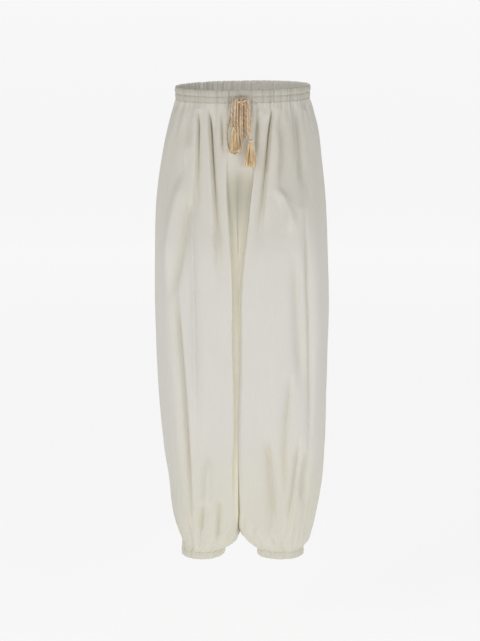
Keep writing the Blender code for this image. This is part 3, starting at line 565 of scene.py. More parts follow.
def shares_by_folds(side, face, drops):
    """Shares of the columns on each row, closer together along the folds."""
    even = np.linspace(0, 1, CROWDING_SAMPLES)
    base, lengths = smooth_cloth(side, face, even, drops)
    crowding = np.ones((len(drops), len(even)))
    for fold in folds_of(side, face):
        line, strength = fold_line(fold, side, drops, base, even)
        away = (even[None, :] - line) * lengths
        crowding += FOLD_CROWDING * strength * bell(away / FOLD_CROWDING_REACH)
    steps = np.diff(base, axis=1)
    turning = np.abs(np.diff(np.unwrap(np.arctan2(steps[..., 1], steps[..., 0]), axis=1), axis=1))
    corners = np.minimum(1.0, turning / SHARP_CORNER)
    crowding[:, 1:-1] += CORNER_CROWDING * corners
    crowding[:, 2:] += NEAR_CORNER_CROWDING * corners
    crowding[:, :-2] += NEAR_CORNER_CROWDING * corners
    margin = ROWS_SMOOTHED // 2
    padded = np.pad(crowding, ((margin, margin), (0, 0)), mode="edge")
    crowding = sum(padded[step : step + len(drops)] for step in range(ROWS_SMOOTHED)) / ROWS_SMOOTHED
    along = np.cumsum((crowding[:, 1:] + crowding[:, :-1]) / 2, axis=1)
    along = np.concatenate([np.zeros((len(drops), 1)), along], axis=1)
    return read_rows(np.linspace(0, 1, PANEL_COLUMNS)[None, :], along / along[:, -1:], even)


def outward(points, side, face):
    """Directions square to a grid of points, out of the garment."""
    across = np.gradient(points, axis=1)
    down = np.gradient(points, axis=0)
    return unit(np.cross(across, down) * side * face)


def gather_wave(side, face, shares):
    """Uneven row of narrow creases: 1 in the middle of a crease, near 0 between creases.

    It is a squared cosine whose places drift by two slow sines and whose depth varies by a third.
    """
    slow = GATHER_SLOW_DRIFT * (np.sin(2 * math.tau * shares + side) - math.sin(side))
    quick = GATHER_QUICK_DRIFT * (np.sin(3 * math.tau * shares + face) - math.sin(face))
    turns = GATHERS_A_PANEL * (shares + slow + quick)
    swell = np.sin(math.pi * shares * (4 + side)) * np.cos(math.pi * shares * 3)
    return (1 + GATHER_UNEVENNESS * swell) * (0.5 + 0.5 * np.cos(math.tau * turns)) ** 2


def soft_waves(points, waves):
    """Smooth uneven field: a sum of sines in random directions, longer up and down than across."""
    random = np.random.default_rng(waves.seed)
    total = np.zeros(points.shape[:-1])
    for _ in range(SINES_A_WAVE):
        turn = random.uniform(0, math.tau)
        rate = math.tau / (waves.wavelength * random.uniform(0.7, 1.5))
        wave = rate * (math.cos(turn) * points[..., 0] + math.sin(turn) * points[..., 1])
        wave = wave + rate / waves.stretch * random.uniform(-1, 1) * points[..., 2]
        total += np.sin(wave + random.uniform(0, math.tau))
    return total / math.sqrt(SINES_A_WAVE / 2)


def fold_profile(form, away, down):
    """Height across a fold, where away is the distance from its line in fold widths.

    A pleat is a narrow bell, the slit, and a bell on its outer side that joins a slow exponential
    slope on its inner side. Further down the slit closes and both widen. A lap is a bell on its
    inner side and a slow exponential slope on its outer side. A crease is an exponential with a
    rounded tip, and a trough is a bell.
    """
    if form == "pleat":
        slit = bell(away / (0.20 + 0.35 * down)) * (1 - down) ** 1.1
        steep = bell(away / (0.20 + 0.60 * down))
        blunt = 0.55 * down
        slow = np.exp(-0.9 * (np.hypot(away, blunt) - blunt))
        return 0.50 * slit + 0.6 * np.where(away > 0, steep, slow)
    if form == "lap":
        blunt = 0.6
        return 0.6 * np.where(away < 0, bell(away / 0.35), np.exp(blunt - np.hypot(away, blunt)))
    if form == "crease":
        return np.exp(-np.hypot(away, 0.15) * 1.6)
    return bell(away)


def fold_heights(side, face, drops, shares, base, lengths):
    """Sum of the long folds, each along its own line down the panel, with faded ends."""
    total = np.zeros(shares.shape)
    for fold in folds_of(side, face):
        line, strength = fold_line(fold, side, drops, base, shares)
        away = (shares - line) * lengths / fold.width
        down = np.clip((drops[:, None] - fold.start) / (fold.end - fold.start), 0, 1)
        gain = PLEAT_GAIN if fold.form == "pleat" else FOLD_GAIN
        total += gain * fold.height * strength * fold_profile(fold.form, away, down)
    return total * soft_step(shares / SEAM_MARGIN) * soft_step((1 - shares) / SEAM_MARGIN)


ShortCreases = namedtuple("ShortCreases", "places depths widths reaches")


def short_creases(side, face, edge):
    """Uneven row of short creases along one panel's edge: seeded places, depths and lengths.

    They are deepest by the centre seam or the inseam, by a bell curve of the share across.
    """
    row = CREASE_ROWS[edge]
    random = np.random.default_rng(row.seed + 2 * side + face)
    places = (np.arange(row.count) + random.uniform(0.1, 0.9, row.count)) / row.count
    depths = random.uniform(0.2, 1.0, row.count) ** 1.4 * (0.55 + 0.45 * bell(places / 0.5))
    widths = random.uniform(row.narrow, row.wide, row.count)
    reaches = random.uniform(SHORTEST_CREASE, row.reach, row.count)
    return ShortCreases(places, depths, widths, reaches)


def crease_wave(creases, shares, lengths, away):
    """Sum of short creases at a distance from their edge: bells that widen and fade as they go."""
    away = np.maximum(0.0, away)
    total = np.zeros(np.broadcast_shapes(np.shape(shares), np.shape(away)))
    for place, depth, width, reach in zip(*creases):
        spread = width * (1 + away / SHORT_CREASE_WIDENS_BY)
        total = total + depth * bell((shares - place) * lengths / spread) * bell(away / reach)
    return total


def gather_heights(side, face, drops, shares, lengths):
    """Depth of the gathers below the waistband and above the cuffs, each with its own reach."""
    drops = drops[:, None]
    wave = gather_wave(side, face, shares)
    uneven = 1 + 0.45 * np.sin(shares * 23 + 2 * side + face)
    waist_part = bell((drops - PANEL_TOP) / (WAIST_GATHER_REACH * uneven))
    cuff_part = bell((PANEL_HEM - drops) / (CUFF_GATHER_REACH * uneven))
    below_waist = crease_wave(short_creases(side, face, "waist"), shares, lengths, drops - PANEL_TOP)
    above_cuff = crease_wave(short_creases(side, face, "cuff"), shares, lengths, PANEL_HEM - drops)
    broad = (WAIST_GATHER_DEPTH * waist_part + CUFF_GATHER_DEPTH * cuff_part) * wave
    return -broad - SHORT_CREASE_DEPTH * (below_waist + above_cuff)


def crumple_heights(points, drops):
    """Low uneven waves all over, and small ridged crumples near the waist and the cuffs.

    All of them are nearly level at the two seams.
    """
    drops = drops[:, None]
    from_seams = soft_step((drops - PANEL_TOP) / SEAM_CALM) * soft_step((PANEL_HEM - drops) / SEAM_CALM)
    near_waist = bell((drops - PANEL_TOP) / CRUMPLED_BY_WAIST)
    near_cuff = bell((PANEL_HEM - drops) / CRUMPLED_BY_CUFF)
    ridges = 1 - np.abs(soft_waves(points, CRUMPLES))
    total = BROAD_WAVES.height * soft_waves(points, BROAD_WAVES) * (1 - near_waist)
    total += DRAPES.height * soft_waves(points, DRAPES)
    total += CRUMPLES.height * ridges * (0.15 + near_waist + 1.3 * near_cuff)
    return (0.1 + 0.9 * from_seams) * total


def raise_waist(points):
    """Lift the back and the left of the waist; the lift fades out down the hips."""
    fade = 1 - soft_step(-points[..., 2] / RISE_FADES_BY)
    lifted = points.copy()
    lifted[..., 2] += fade * (BACK_RISE * points[..., 1] + LEFT_RISE * points[..., 0])
    return lifted


def mesh_from_grid(name, points, uv, wrap_rows=False, wrap_columns=False, flip=False):
    """Mesh of four-sided faces on a grid of points, with a UV map in metres."""
    rows, columns = points.shape[:2]
    numbers = np.arange(rows * columns).reshape(rows, columns)
    if wrap_rows:
        numbers = np.vstack([numbers, numbers[:1]])
    if wrap_columns:
        numbers = np.hstack([numbers, numbers[:, :1]])
    corners = [numbers[:-1, :-1], numbers[:-1, 1:], numbers[1:, 1:], numbers[1:, :-1]]
    if flip:
        corners.reverse()
    faces = np.stack(corners, axis=-1).reshape(-1, 4)
    mesh = bpy.data.meshes.new(name)
    mesh.vertices.add(rows * columns)
    mesh.vertices.foreach_set("co", points.reshape(-1).astype(np.float32))
    mesh.loops.add(faces.size)
    mesh.loops.foreach_set("vertex_index", faces.reshape(-1).astype(np.int32))
    mesh.polygons.add(len(faces))
    mesh.polygons.foreach_set("loop_start", np.arange(0, faces.size, 4, dtype=np.int32))
    mesh.update(calc_edges=True)
    layer = mesh.uv_layers.new(name="UVMap")
    layer.uv.foreach_set("vector", uv.reshape(-1, 2)[faces.reshape(-1)].reshape(-1).astype(np.float32))
    mesh.shade_smooth()
    return mesh


def mark_inside(mesh, shape, lining_rows):
    """Give a casing's mesh the attribute that is 1 on its lining: the last rows of its grid."""
    values = np.zeros(shape, np.float32)
    values[-lining_rows:] = 1.0
    mesh.attributes.new("inside", "FLOAT", "POINT").data.foreach_set("value", values.ravel())


def add_piece(name, mesh, material, replaced):
    """Link a mesh as a piece on the one body, standing for the named nodes."""
    mesh.materials.append(material)
    piece = bpy.data.objects.new(name, mesh)
    bpy.context.scene.collection.objects.link(piece)
    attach(piece, "root")
    for node in replaced:
        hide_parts(node)
    return piece


def new_material(name):
    """New node material: itself, its nodes and its shader."""
    material = bpy.data.materials.new(name)
    material.use_nodes = True
    nodes = material.node_tree.nodes
    return material, nodes, nodes["Principled BSDF"]


def fill_sockets(node, sockets):
    """Give each named or numbered socket its value, or a link from another node's output."""
    for key, value in sockets.items():
        if isinstance(value, bpy.types.NodeSocket):
            node.id_data.links.new(value, node.inputs[key])
        else:
            node.inputs[key].default_value = value


def add_node(nodes, kind, sockets, **settings):
    """New shader node with its settings and sockets."""
    node = nodes.new(kind)
    for key, value in settings.items():
        setattr(node, key, value)
    fill_sockets(node, sockets)
    return node


def mix_colours(nodes, factor, first, second, blend="MIX"):
    """Output of a node that mixes two colours by a factor."""
    sockets = {"Factor": factor, "A": first, "B": second}
    return add_node(nodes, "ShaderNodeMix", sockets, data_type="RGBA", blend_type=blend).outputs["Result"]


def bump_normal(nodes, height, distance, strength):
    """Output of a bump node."""
    sockets = {"Height": height, "Distance": distance, "Strength": strength}
    return add_node(nodes, "ShaderNodeBump", sockets).outputs["Normal"]


def attribute_output(nodes, name, output):
    """One output of a mesh attribute."""
    return add_node(nodes, "ShaderNodeAttribute", {}, attribute_name=name).outputs[output]


def cotton_material(name, colour, roughness, weave_bump, shade, inside=None, with_painted_light_and_shade=False):
    """Matt woven cotton: a fine plain weave, thread slubs and a slow drift of colour.

    The weave is the product of two rows of waves, warp and weft. The hips are greyer than the
    legs by painted shade, which fades out by the height. A casing takes a paler colour, painted
    light, where its attribute "inside" is 1, and a panel's attribute "tint", which holds painted
    light and shade, multiplies its colour.
    """
    material, nodes, shader = new_material(name)
    place = nodes.new("ShaderNodeTexCoord").outputs
    drift = add_node(nodes, "ShaderNodeTexNoise", {"Vector": place["Object"], "Scale": 9.0, "Detail": 4.0})
    slub_scale = {"Vector": place["UV"], "Scale": (900.0, 60.0, 1.0)}
    slub_place = add_node(nodes, "ShaderNodeMapping", slub_scale).outputs["Vector"]
    slubs = add_node(nodes, "ShaderNodeTexNoise", {"Vector": slub_place, "Scale": 1.0})
    weave = {"Vector": place["UV"], "Scale": 640.0, "Distortion": 0.6, "Detail": 1.0}
    warp = add_node(nodes, "ShaderNodeTexWave", weave, bands_direction="X").outputs["Fac"]
    weft = add_node(nodes, "ShaderNodeTexWave", weave, bands_direction="Y").outputs["Fac"]
    threads = add_node(nodes, "ShaderNodeMath", {0: warp, 1: weft}, operation="MULTIPLY")
    darker = [part * shade for part in colour]
    last = mix_colours(nodes, drift.outputs["Fac"], (*darker, 1.0), (*colour, 1.0))
    last = mix_colours(nodes, 0.10, last, slubs.outputs["Color"], "MULTIPLY")
    # Painted shade: the hips darker and greyer than the legs, fading out down to the thighs by the height
    height = add_node(nodes, "ShaderNodeSeparateXYZ", {"Vector": place["Object"]}).outputs["Z"]
    below_hips = {"Value": height, "From Min": -0.10, "From Max": -0.48}
    lower = add_node(nodes, "ShaderNodeMapRange", below_hips, interpolation_type="SMOOTHSTEP")
    hips = mix_colours(nodes, lower.outputs["Result"], (*HIP_PAINTED_SHADE, 1.0), (1.0, 1.0, 1.0, 1.0))
    last = mix_colours(nodes, 1.0, last, hips, "MULTIPLY")
    # A panel's attribute "tint" multiplies in painted light and shade
    if with_painted_light_and_shade:
        last = mix_colours(nodes, 1.0, last, attribute_output(nodes, "tint", "Color"), "MULTIPLY")
    # Painted light: a paler colour on a casing's lining rows
    if inside:
        last = mix_colours(nodes, attribute_output(nodes, "inside", "Fac"), last, (*inside, 1.0))
    finish = {
        "Base Color": last,
        "Normal": bump_normal(nodes, threads.outputs["Value"], weave_bump, 0.5),
        "Roughness": roughness,
        "Specular IOR Level": 0.25,
        "Sheen Weight": 0.12,
        "Sheen Roughness": 0.5,
    }
    fill_sockets(shader, finish)
    return material


def rope_material(name, colour, dark, grain):
    """Spun cotton: long fibres along each strand, some of them darker; grain is how many a metre."""
    material, nodes, shader = new_material(name)
    place = nodes.new("ShaderNodeTexCoord").outputs
    fibre_scale = {"Vector": place["UV"], "Scale": (24.0, grain, 1.0)}
    fibre_place = add_node(nodes, "ShaderNodeMapping", fibre_scale).outputs["Vector"]
    fibres = add_node(nodes, "ShaderNodeTexNoise", {"Vector": fibre_place, "Scale": 1.0, "Detail": 3.0})
    contrast = {"Value": fibres.outputs["Fac"], "From Min": 0.40, "From Max": 0.58}
    lit = add_node(nodes, "ShaderNodeMapRange", contrast).outputs["Result"]
    finish = {
        "Base Color": mix_colours(nodes, lit, (*dark, 1.0), (*colour, 1.0)),
        "Normal": bump_normal(nodes, fibres.outputs["Fac"], 0.0003, 0.6),
        "Roughness": 0.7,
        "Specular IOR Level": 0.3,
        "Sheen Weight": 0.25,
    }
    fill_sockets(shader, finish)
    return material


def panel_drops():
    """Rows down a panel, closer together by the waist and by the cuff."""
    even = np.linspace(0, 1, PANEL_ROWS)
    bunched = even - ROW_BUNCHING * np.sin(math.tau * even)
    top = PANEL_TOP - TUCKED_IN
    return top + (PANEL_HEM + TUCKED_IN - top) * bunched


def level_ends(normals, drops):
    """Turn directions level where the cloth meets the band and the cuff."""
    levelled = bell((drops - PANEL_TOP) / LEVEL_BY_SEAM) + bell((PANEL_HEM - drops) / LEVEL_BY_SEAM)
    turned = normals.copy()
    turned[..., 2] *= 1 - levelled[:, None]
    return unit(turned)


def tint_where(share, colour):
    """Colour shares that go from white to a tint as its share of the place goes from 0 to 1."""
    return 1 + share[..., None] * (np.asarray(colour) - 1)


def panel_painted_light_and_shade(side, face, base, drops, folds):
    """Colour shares of one panel's points, red, green and blue.

    The cloth is creamier and darker by the hems and deep in the folds: painted shade. The strip
    between the legs is a warmer and lighter cream, painted bounce light, with painted shade above
    the crotch by a bell curve of the drop. The cloth over the left pocket bag is a little greyer,
    painted shade, down to its rounded lower edge.
    """
    drops = drops[:, None]
    # Painted shade: creamier and darker by the hems
    painted_shares = tint_where(soft_step((drops - 0.64) / 0.32), HEM_PAINTED_SHADE) * np.ones(base.shape)
    # Painted shade: creamier deep in the folds
    painted_shares *= tint_where(soft_step(-folds / DEEP_FOLD), FOLD_PAINTED_SHADE)
    if FACE_COLUMN[face] == "back":
        return painted_shares
    from_middle = side * base[..., 0]
    from_seam = from_middle - side * read_table(SECTIONS, "parting", drops)
    reach = read_table(VALLEY, SIDE_COLUMN[side], drops)
    # Painted bounce light in the strip between the legs, a warmer and lighter cream, with painted shade
    # above the crotch
    strip = soft_step((reach + 0.001 - from_seam) / 0.003) * soft_step((drops - 0.13) / 0.05)
    strip = strip * soft_step((VALLEY_END - drops) / 0.03)
    crotch = bell((drops - 0.205) / 0.075) * (1 + 0.5 * bell(from_seam / 0.007))
    painted_shares *= tint_where(strip, np.array(STRIP_PAINTED_BOUNCE_LIGHT) * (1 - STRIP_SHADE * crotch[..., None]))
    # Painted shade over the left pocket bag, down to its rounded lower edge
    if SIDE_COLUMN[side] == "left":
        lower_edge = np.minimum(0.240, 0.200 + 0.9 * np.maximum(0.0, from_middle - 0.078))
        bag = soft_step((from_middle - 0.076) / 0.006) * soft_step((0.150 - from_middle) / 0.030)
        bag = bag * soft_step((lower_edge - drops) / 0.004) * soft_step(drops / 0.05)
        painted_shares *= tint_where(bag, POCKET_PAINTED_SHADE)
    return painted_shares


def make_panel(leg, face_name, material):
    """Cotton shell of one panel, with its colour shares.

    The smooth cloth moves along its outward directions by the sum of the heights of its folds,
    gathers and crumples. By the parting between the legs these heights fade out.
    """
    side = SIDES[leg]
    face = FACES[face_name]
    drops = panel_drops()
    shares = shares_by_folds(side, face, drops)
    base, lengths = smooth_cloth(side, face, shares, drops)
    normals = level_ends(outward(base, side, face), drops)
    folds = fold_heights(side, face, drops, shares, base, lengths)
    heights = folds + gather_heights(side, face, drops, shares, lengths) + crumple_heights(base, drops)
    parting = read_table(SECTIONS, "parting", drops)[:, None]
    from_parting = side * (base[..., 0] - parting)
    heights *= soft_step((from_parting - PARTING_CALM_START) / PARTING_CALM_WIDTH)
    points = raise_waist(base + normals * heights[..., None])
    uv = np.stack(np.broadcast_arrays(shares * lengths, drops[:, None]), axis=-1)
    name = "cloth_" + face_name + "_" + leg
    mesh = mesh_from_grid(name, points, uv, flip=side * face > 0)
    # Colour shares of painted light and shade, kept in the attribute "tint"
    painted_shares = panel_painted_light_and_shade(side, face, base, drops, folds)
    colours = np.concatenate([painted_shares, np.ones(painted_shares.shape[:2] + (1,))], axis=-1)
    mesh.attributes.new("tint", "FLOAT_COLOR", "POINT").data.foreach_set(
        "color", colours.reshape(-1).astype(np.float32)
    )
    panel = add_piece(name, mesh, material, [face_name + "_" + leg])
    shell = panel.modifiers.new("shell", "SOLIDIFY")
    shell.thickness = SHELL
    shell.offset = -1.0


# Profile of a casing: how far out, height as a share of the casing's, and shares of the depths of
# its gathers and ripples
ProfilePoint = namedtuple("ProfilePoint", "outward height gather pucker")
BAND_PROFILE = [
    ProfilePoint(0.0001, 0.000, 1.00, 0.1),
    ProfilePoint(0.0003, 0.050, 1.00, 0.2),
    ProfilePoint(0.0007, 0.130, 0.95, 0.5),
    ProfilePoint(0.0011, 0.230, 0.90, 0.8),
    ProfilePoint(0.0013, 0.360, 0.90, 1.0),
    ProfilePoint(0.0010, 0.450, 0.95, 0.5),
    ProfilePoint(-0.0005, 0.490, 1.00, 0.1),
    ProfilePoint(-0.0005, 0.515, 1.00, 0.1),
    ProfilePoint(0.0012, 0.550, 0.95, 0.5),
    ProfilePoint(0.0020, 0.630, 0.85, 1.0),
    ProfilePoint(0.0022, 0.760, 0.80, 1.0),
    ProfilePoint(0.0018, 0.880, 0.90, 1.0),
    ProfilePoint(0.0010, 0.960, 1.00, 1.0),
    ProfilePoint(0.0000, 1.000, 1.00, 1.0),
    ProfilePoint(-0.0011, 0.985, 1.00, 0.8),
    ProfilePoint(-0.0020, 0.930, 0.90, 0.6),
    ProfilePoint(-0.0024, 0.760, 0.85, 0.6),
    ProfilePoint(-0.0018, 0.520, 0.90, 0.3),
    ProfilePoint(-0.0024, 0.260, 0.85, 0.6),
    ProfilePoint(-0.0020, 0.000, 1.00, 0.1),
]
CUFF_PROFILE = [
    ProfilePoint(-0.0003, 1.000, 1.00, 0.1),
    ProfilePoint(0.0003, 0.940, 1.00, 0.3),
    ProfilePoint(0.0010, 0.780, 0.95, 0.8),
    ProfilePoint(0.0015, 0.560, 0.75, 1.0),
    ProfilePoint(0.0013, 0.340, 0.60, 0.8),
    ProfilePoint(0.0008, 0.220, 0.50, 0.3),
    ProfilePoint(0.0008, 0.170, 0.50, 0.3),
    ProfilePoint(0.0011, 0.080, 0.45, 0.8),
    ProfilePoint(0.0005, 0.010, 0.45, 0.7),
    ProfilePoint(-0.0006, 0.000, 0.45, 0.7),
    ProfilePoint(-0.0019, 0.080, 0.45, 0.6),
    ProfilePoint(-0.0024, 0.400, 0.55, 0.6),
    ProfilePoint(-0.0017, 1.000, 1.00, 0.1),
]


# How far short creases of the outside and of the lining push each side of a casing outwards, and the
# outward place in its profile that parts the two sides
OUTER_PUSH = (-SHORT_CREASE_DEPTH, 0.0022)
INNER_PUSH = (-0.0032, 0.0027)
LINING_FROM = -0.0006

# A gathered casing. Level is the height of the edge that meets the panels, as a share of its own
# height, and ease the share of its short creases that has gone at its other edge. Its last lining
# rows take a paler colour, painted light
Casing = namedtuple(
    "Casing", "profile bottom height gather_depth ripples ripple_depth level ease lining_rows"
)
BAND_HEIGHT = BAND_TOP - BAND_BOTTOM
BAND = Casing(BAND_PROFILE, BAND_BOTTOM, BAND_HEIGHT, WAIST_GATHER_DEPTH, 96, 0.0011, 0, 0.0, 6)
CUFF_BOTTOM = -PANEL_HEM - SEAM_GAP - CUFF_HEIGHT
CUFF = Casing(CUFF_PROFILE, CUFF_BOTTOM, CUFF_HEIGHT, CUFF_GATHER_DEPTH, 30, 0.0005, 1, 0.7, 0)

# The profile rows that carry stitches
BAND_STITCHES = {"middle": 6, "lower": 1}
CUFF_STITCHES = 5
RingPath = namedtuple("RingPath", "points normals waves pinched_in pinched_out along total")


def ring_path(drop, halves, stations, outside, lining):
    """Points, outward directions, gathers, short creases and distances round a ring of panel edges.

    Each half is one panel's edge, from its centre seam or inseam to its side seam, or backwards.
    """
    count = stations // len(halves)
    drops = np.array([drop - 0.001, drop, drop + 0.001])
    parts = []
    for side, face, backwards in halves:
        shares = np.arange(count) / count
        if backwards:
            shares = 1 - shares
        order = np.argsort(shares)
        back = np.argsort(order)
        base, lengths = smooth_cloth(side, face, shares[order], drops)
        creases = [
            crease_wave(short_creases(side, face, edge), shares, lengths[1, 0], 0.0)
            for edge in (outside, lining)
        ]
        normals = outward(base, side, face)[1][back]
        parts.append((base[1][back], normals, gather_wave(side, face, shares), *creases))
    points, normals, waves, pinched_in, pinched_out = (np.concatenate(column) for column in zip(*parts))
    normals[:, 2] = 0
    along = distances(closed(points))
    return RingPath(points, unit(normals), waves, pinched_in, pinched_out, along[:-1], along[-1])


def pucker(along, total, seed, ripples):
    """Uneven upright ripples round a casing, with narrow valleys: powers of sines that close up."""
    random = np.random.default_rng(seed)
    turn = math.tau * along / total
    wander = sum(
        random.uniform(0.3, 1.0) * np.sin(turn * number + random.uniform(0, math.tau))
        for number in (3, 5, 8, 13)
    )
    first = np.sin(turn * ripples + 1.6 * wander)
    second = np.sin(turn * round(ripples * 1.7) - 1.1 * wander + 1.0)
    size = 0.65 + 0.35 * np.sin(turn * 7 + wander)
    return -size * (0.7 * (0.5 - 0.5 * first) ** 2 + 0.3 * (0.5 - 0.5 * second) ** 2)


def casing_points(path, casing, seed):
    """Grid of points round a gathered casing: profile along the path, cut in by gathers and ripples.

    Short creases push the whole casing in at some places, and out at others, more and more towards
    its free edge, the one away from the level that meets the panels. The side they start on is
    pushed a little further than the other. They also draw in the free edge.
    """
    rows = []
    for number, point in enumerate(casing.profile):
        lean = CASING_LEAN * math.sin(2.1 * number + seed)
        ripple = pucker(path.along + lean, path.total, seed, casing.ripples)
        out = point.outward - casing.gather_depth * point.gather * path.waves
        out += casing.ripple_depth * point.pucker * ripple
        pushed_in, pushed_out = OUTER_PUSH if point.outward > LINING_FROM else INNER_PUSH
        away = abs(point.height - casing.level)
        held = 1 - casing.ease * away
        out += held * (pushed_in * path.pinched_in + pushed_out * away * path.pinched_out)
        places = path.points + path.normals * out[:, None]
        dip = EDGE_PINCH * held * path.pinched_in * away**3
        places[:, 2] = casing.bottom + casing.height * point.height + (dip if casing.level else -dip)
        rows.append(places)
    return np.stack(rows, axis=0)


def make_casing(name, node, path, casing, seed, material):
    """Closed casing round its path, with a UV map in metres, and the grid of its points."""
    grid = raise_waist(casing_points(path, casing, seed))
    heights = np.array([point.height * casing.height for point in casing.profile])
    uv = np.stack(np.broadcast_arrays(path.along[None, :], heights[:, None]), axis=-1)
    profile_runs_down = casing.level == 1
    mesh = mesh_from_grid(name, grid, uv, wrap_rows=True, wrap_columns=True, flip=profile_runs_down)
    if casing.lining_rows:
        mark_inside(mesh, grid.shape[:2], casing.lining_rows)
    return add_piece(name, mesh, material, [node]), grid


def stitch_row(name, places, path, material):
    """Row of short stitches along a line: small six-sided beads that sink where the casing is pinched."""
    tangents = unit(np.roll(places, -1, axis=0) - np.roll(places, 1, axis=0))
    places = places - path.normals * (STITCH_SINK * np.minimum(1, 2 * path.pinched_in))[:, None]
    along = distances(closed(places))
    wanted = np.arange(0, along[-1] - STITCH_SPACING / 2, STITCH_SPACING)
    centre, ahead, out = (
        read_line(wanted, along, closed(values)) for values in (places, tangents, path.normals)
    )
    aside = np.cross(ahead, out)
    stations = np.array([-0.5, -0.34, 0.0, 0.34, 0.5]) * STITCH_LENGTH
    swell = np.array([0.15, 0.8, 1.0, 0.8, 0.15]) * STITCH_RADIUS
    turn = np.arange(6) * math.tau / 6
    ring = centre[:, None, None] + ahead[:, None, None] * stations[None, :, None, None]
    ring = ring + aside[:, None, None] * (swell[:, None] * np.cos(turn))[None, :, :, None]
    ring = ring + out[:, None, None] * (swell[:, None] * np.sin(turn))[None, :, :, None]
    return joined_tubes(name, ring, material, [])


def joined_tubes(name, rings, material, replaced):
    """One mesh of many closed tubes; rings has tubes, stations, points round and coordinates.

    The UV map is the distance along a tube and the way round it, at a place of its own for each tube.
    """
    tubes, stations, sides = rings.shape[:3]
    numbers = np.arange(tubes * stations * sides).reshape(tubes, stations, sides)
    around = np.roll(numbers, -1, axis=2)
    faces = np.stack([numbers[:, :-1], numbers[:, 1:], around[:, 1:], around[:, :-1]], axis=-1)
    quads = faces.reshape(-1, 4)
    starts = numbers[:, 0, :]
    ends = numbers[:, -1, ::-1]
    caps = np.concatenate([starts, ends]).reshape(-1, sides)
    loops = np.concatenate([quads.reshape(-1), caps.reshape(-1)])
    sizes = np.concatenate([np.full(len(quads), 4), np.full(len(caps), sides)])
    mesh = bpy.data.meshes.new(name)
    mesh.vertices.add(numbers.size)
    mesh.vertices.foreach_set("co", rings.reshape(-1).astype(np.float32))
    mesh.loops.add(len(loops))
    mesh.loops.foreach_set("vertex_index", loops.astype(np.int32))
    mesh.polygons.add(len(sizes))
    mesh.polygons.foreach_set("loop_start", np.concatenate([[0], np.cumsum(sizes)[:-1]]).astype(np.int32))
    mesh.update(calc_edges=True)
    steps = np.linalg.norm(np.diff(rings.mean(axis=2), axis=1), axis=-1)
    along = np.concatenate([np.zeros((tubes, 1)), np.cumsum(steps, axis=1)], axis=1)
    across = TUBE_UV_WIDTH * np.arange(sides) / sides + TUBE_UV_STEP * np.arange(tubes)[:, None]
    uv = np.stack(np.broadcast_arrays(along[:, :, None], across[:, None, :]), axis=-1).reshape(-1, 2)
    layer = mesh.uv_layers.new(name="UVMap")
    layer.uv.foreach_set("vector", uv[loops].reshape(-1).astype(np.float32))
    mesh.shade_smooth()
    return add_piece(name, mesh, material, replaced)


def make_waistband(material, thread):
    """Gathered band with an elastic channel over a drawstring channel, and its rows of stitches."""
    halves = [(1, -1, False), (1, 1, True), (-1, 1, False), (-1, -1, True)]
    path = ring_path(PANEL_TOP, halves, RING_STATIONS, "waist", "lining")
    band, grid = make_casing("cloth_waistband", "waistband", path, BAND, 3, material)
    rows = [
        stitch_row("stitches_band_" + place, grid[line], path, thread)
        for place, line in BAND_STITCHES.items()
    ]


def make_cuff(leg, material, thread):
    """Gathered elastic casing at one ankle, with its row of stitches."""
    side = SIDES[leg]
    halves = [(side, -1, side < 0), (side, 1, side > 0)]
    path = ring_path(PANEL_HEM, halves, RING_STATIONS // 2, "cuff", "cuff_lining")
    cuff, grid = make_casing(
        "cloth_cuff_" + leg, "cuff_" + leg, path, CUFF, 5 + side, material
    )
    rows = [stitch_row("stitches_cuff_" + leg, grid[CUFF_STITCHES], path, thread)]


def route_places(route):
    """Places in space of a cord's route, in front of the fullest part of the cloth."""
    places = []
    for point in route:
        depth = float(read_table(SECTIONS, "front", np.array(point.drop)))
        places.append(Vector((point.across, -depth - point.clear, -point.drop)))
    return places


def smooth_line(places):
    """Even points along a Catmull-Rom curve through the places, as an array."""
    places = np.array([list(place) for place in places])
    padded = np.vstack([2 * places[0] - places[1], places, 2 * places[-1] - places[-2]])
    part = np.linspace(0, 1, CURVE_SAMPLES, endpoint=False)[None, :, None]
    before, start, end, after = (padded[i : len(places) - 1 + i, None, :] for i in range(4))
    curve = 0.5 * (
        2 * start
        + (end - before) * part
        + (2 * before - 5 * start + 4 * end - after) * part**2
        + (3 * start - before - 3 * end + after) * part**3
    )
    fine = np.vstack([curve.reshape(-1, 3), places[-1:]])
    along = distances(fine)
    wanted = np.linspace(0, along[-1], max(2, round(along[-1] / LINE_STEP)) + 1)
    return read_line(wanted, along, fine)


def rope_rings(line, diameter, lay):
    """Rings of strands laid round a line: each strand is a helix of a fixed pitch.

    A ring is square to its own strand, or else lies across the line.
    """
    ahead = unit(np.gradient(line, axis=0))
    aside = unit(np.cross(ahead, lay.upright))
    out = np.cross(aside, ahead)
    along = distances(line)
    angle = np.arange(STRAND_SIDES) * math.tau / STRAND_SIDES
    rings = []
    for strand in range(STRANDS):
        turn = math.tau * (along / STRAND_PITCH + strand / STRANDS)
        swing = np.cos(turn)[:, None] * aside + np.sin(turn)[:, None] * out
        centre = line + diameter * lay.offset * swing
        first, second = aside, out
        if lay.square:
            lean = unit(np.gradient(centre, axis=0))
            first = unit(np.cross(lean, out))
            second = np.cross(lean, first)
        spokes = np.cos(angle)[:, None] * first[:, None] + np.sin(angle)[:, None] * second[:, None]
        rings.append(centre[:, None] + diameter * lay.radius * spokes)
    return np.stack(rings)


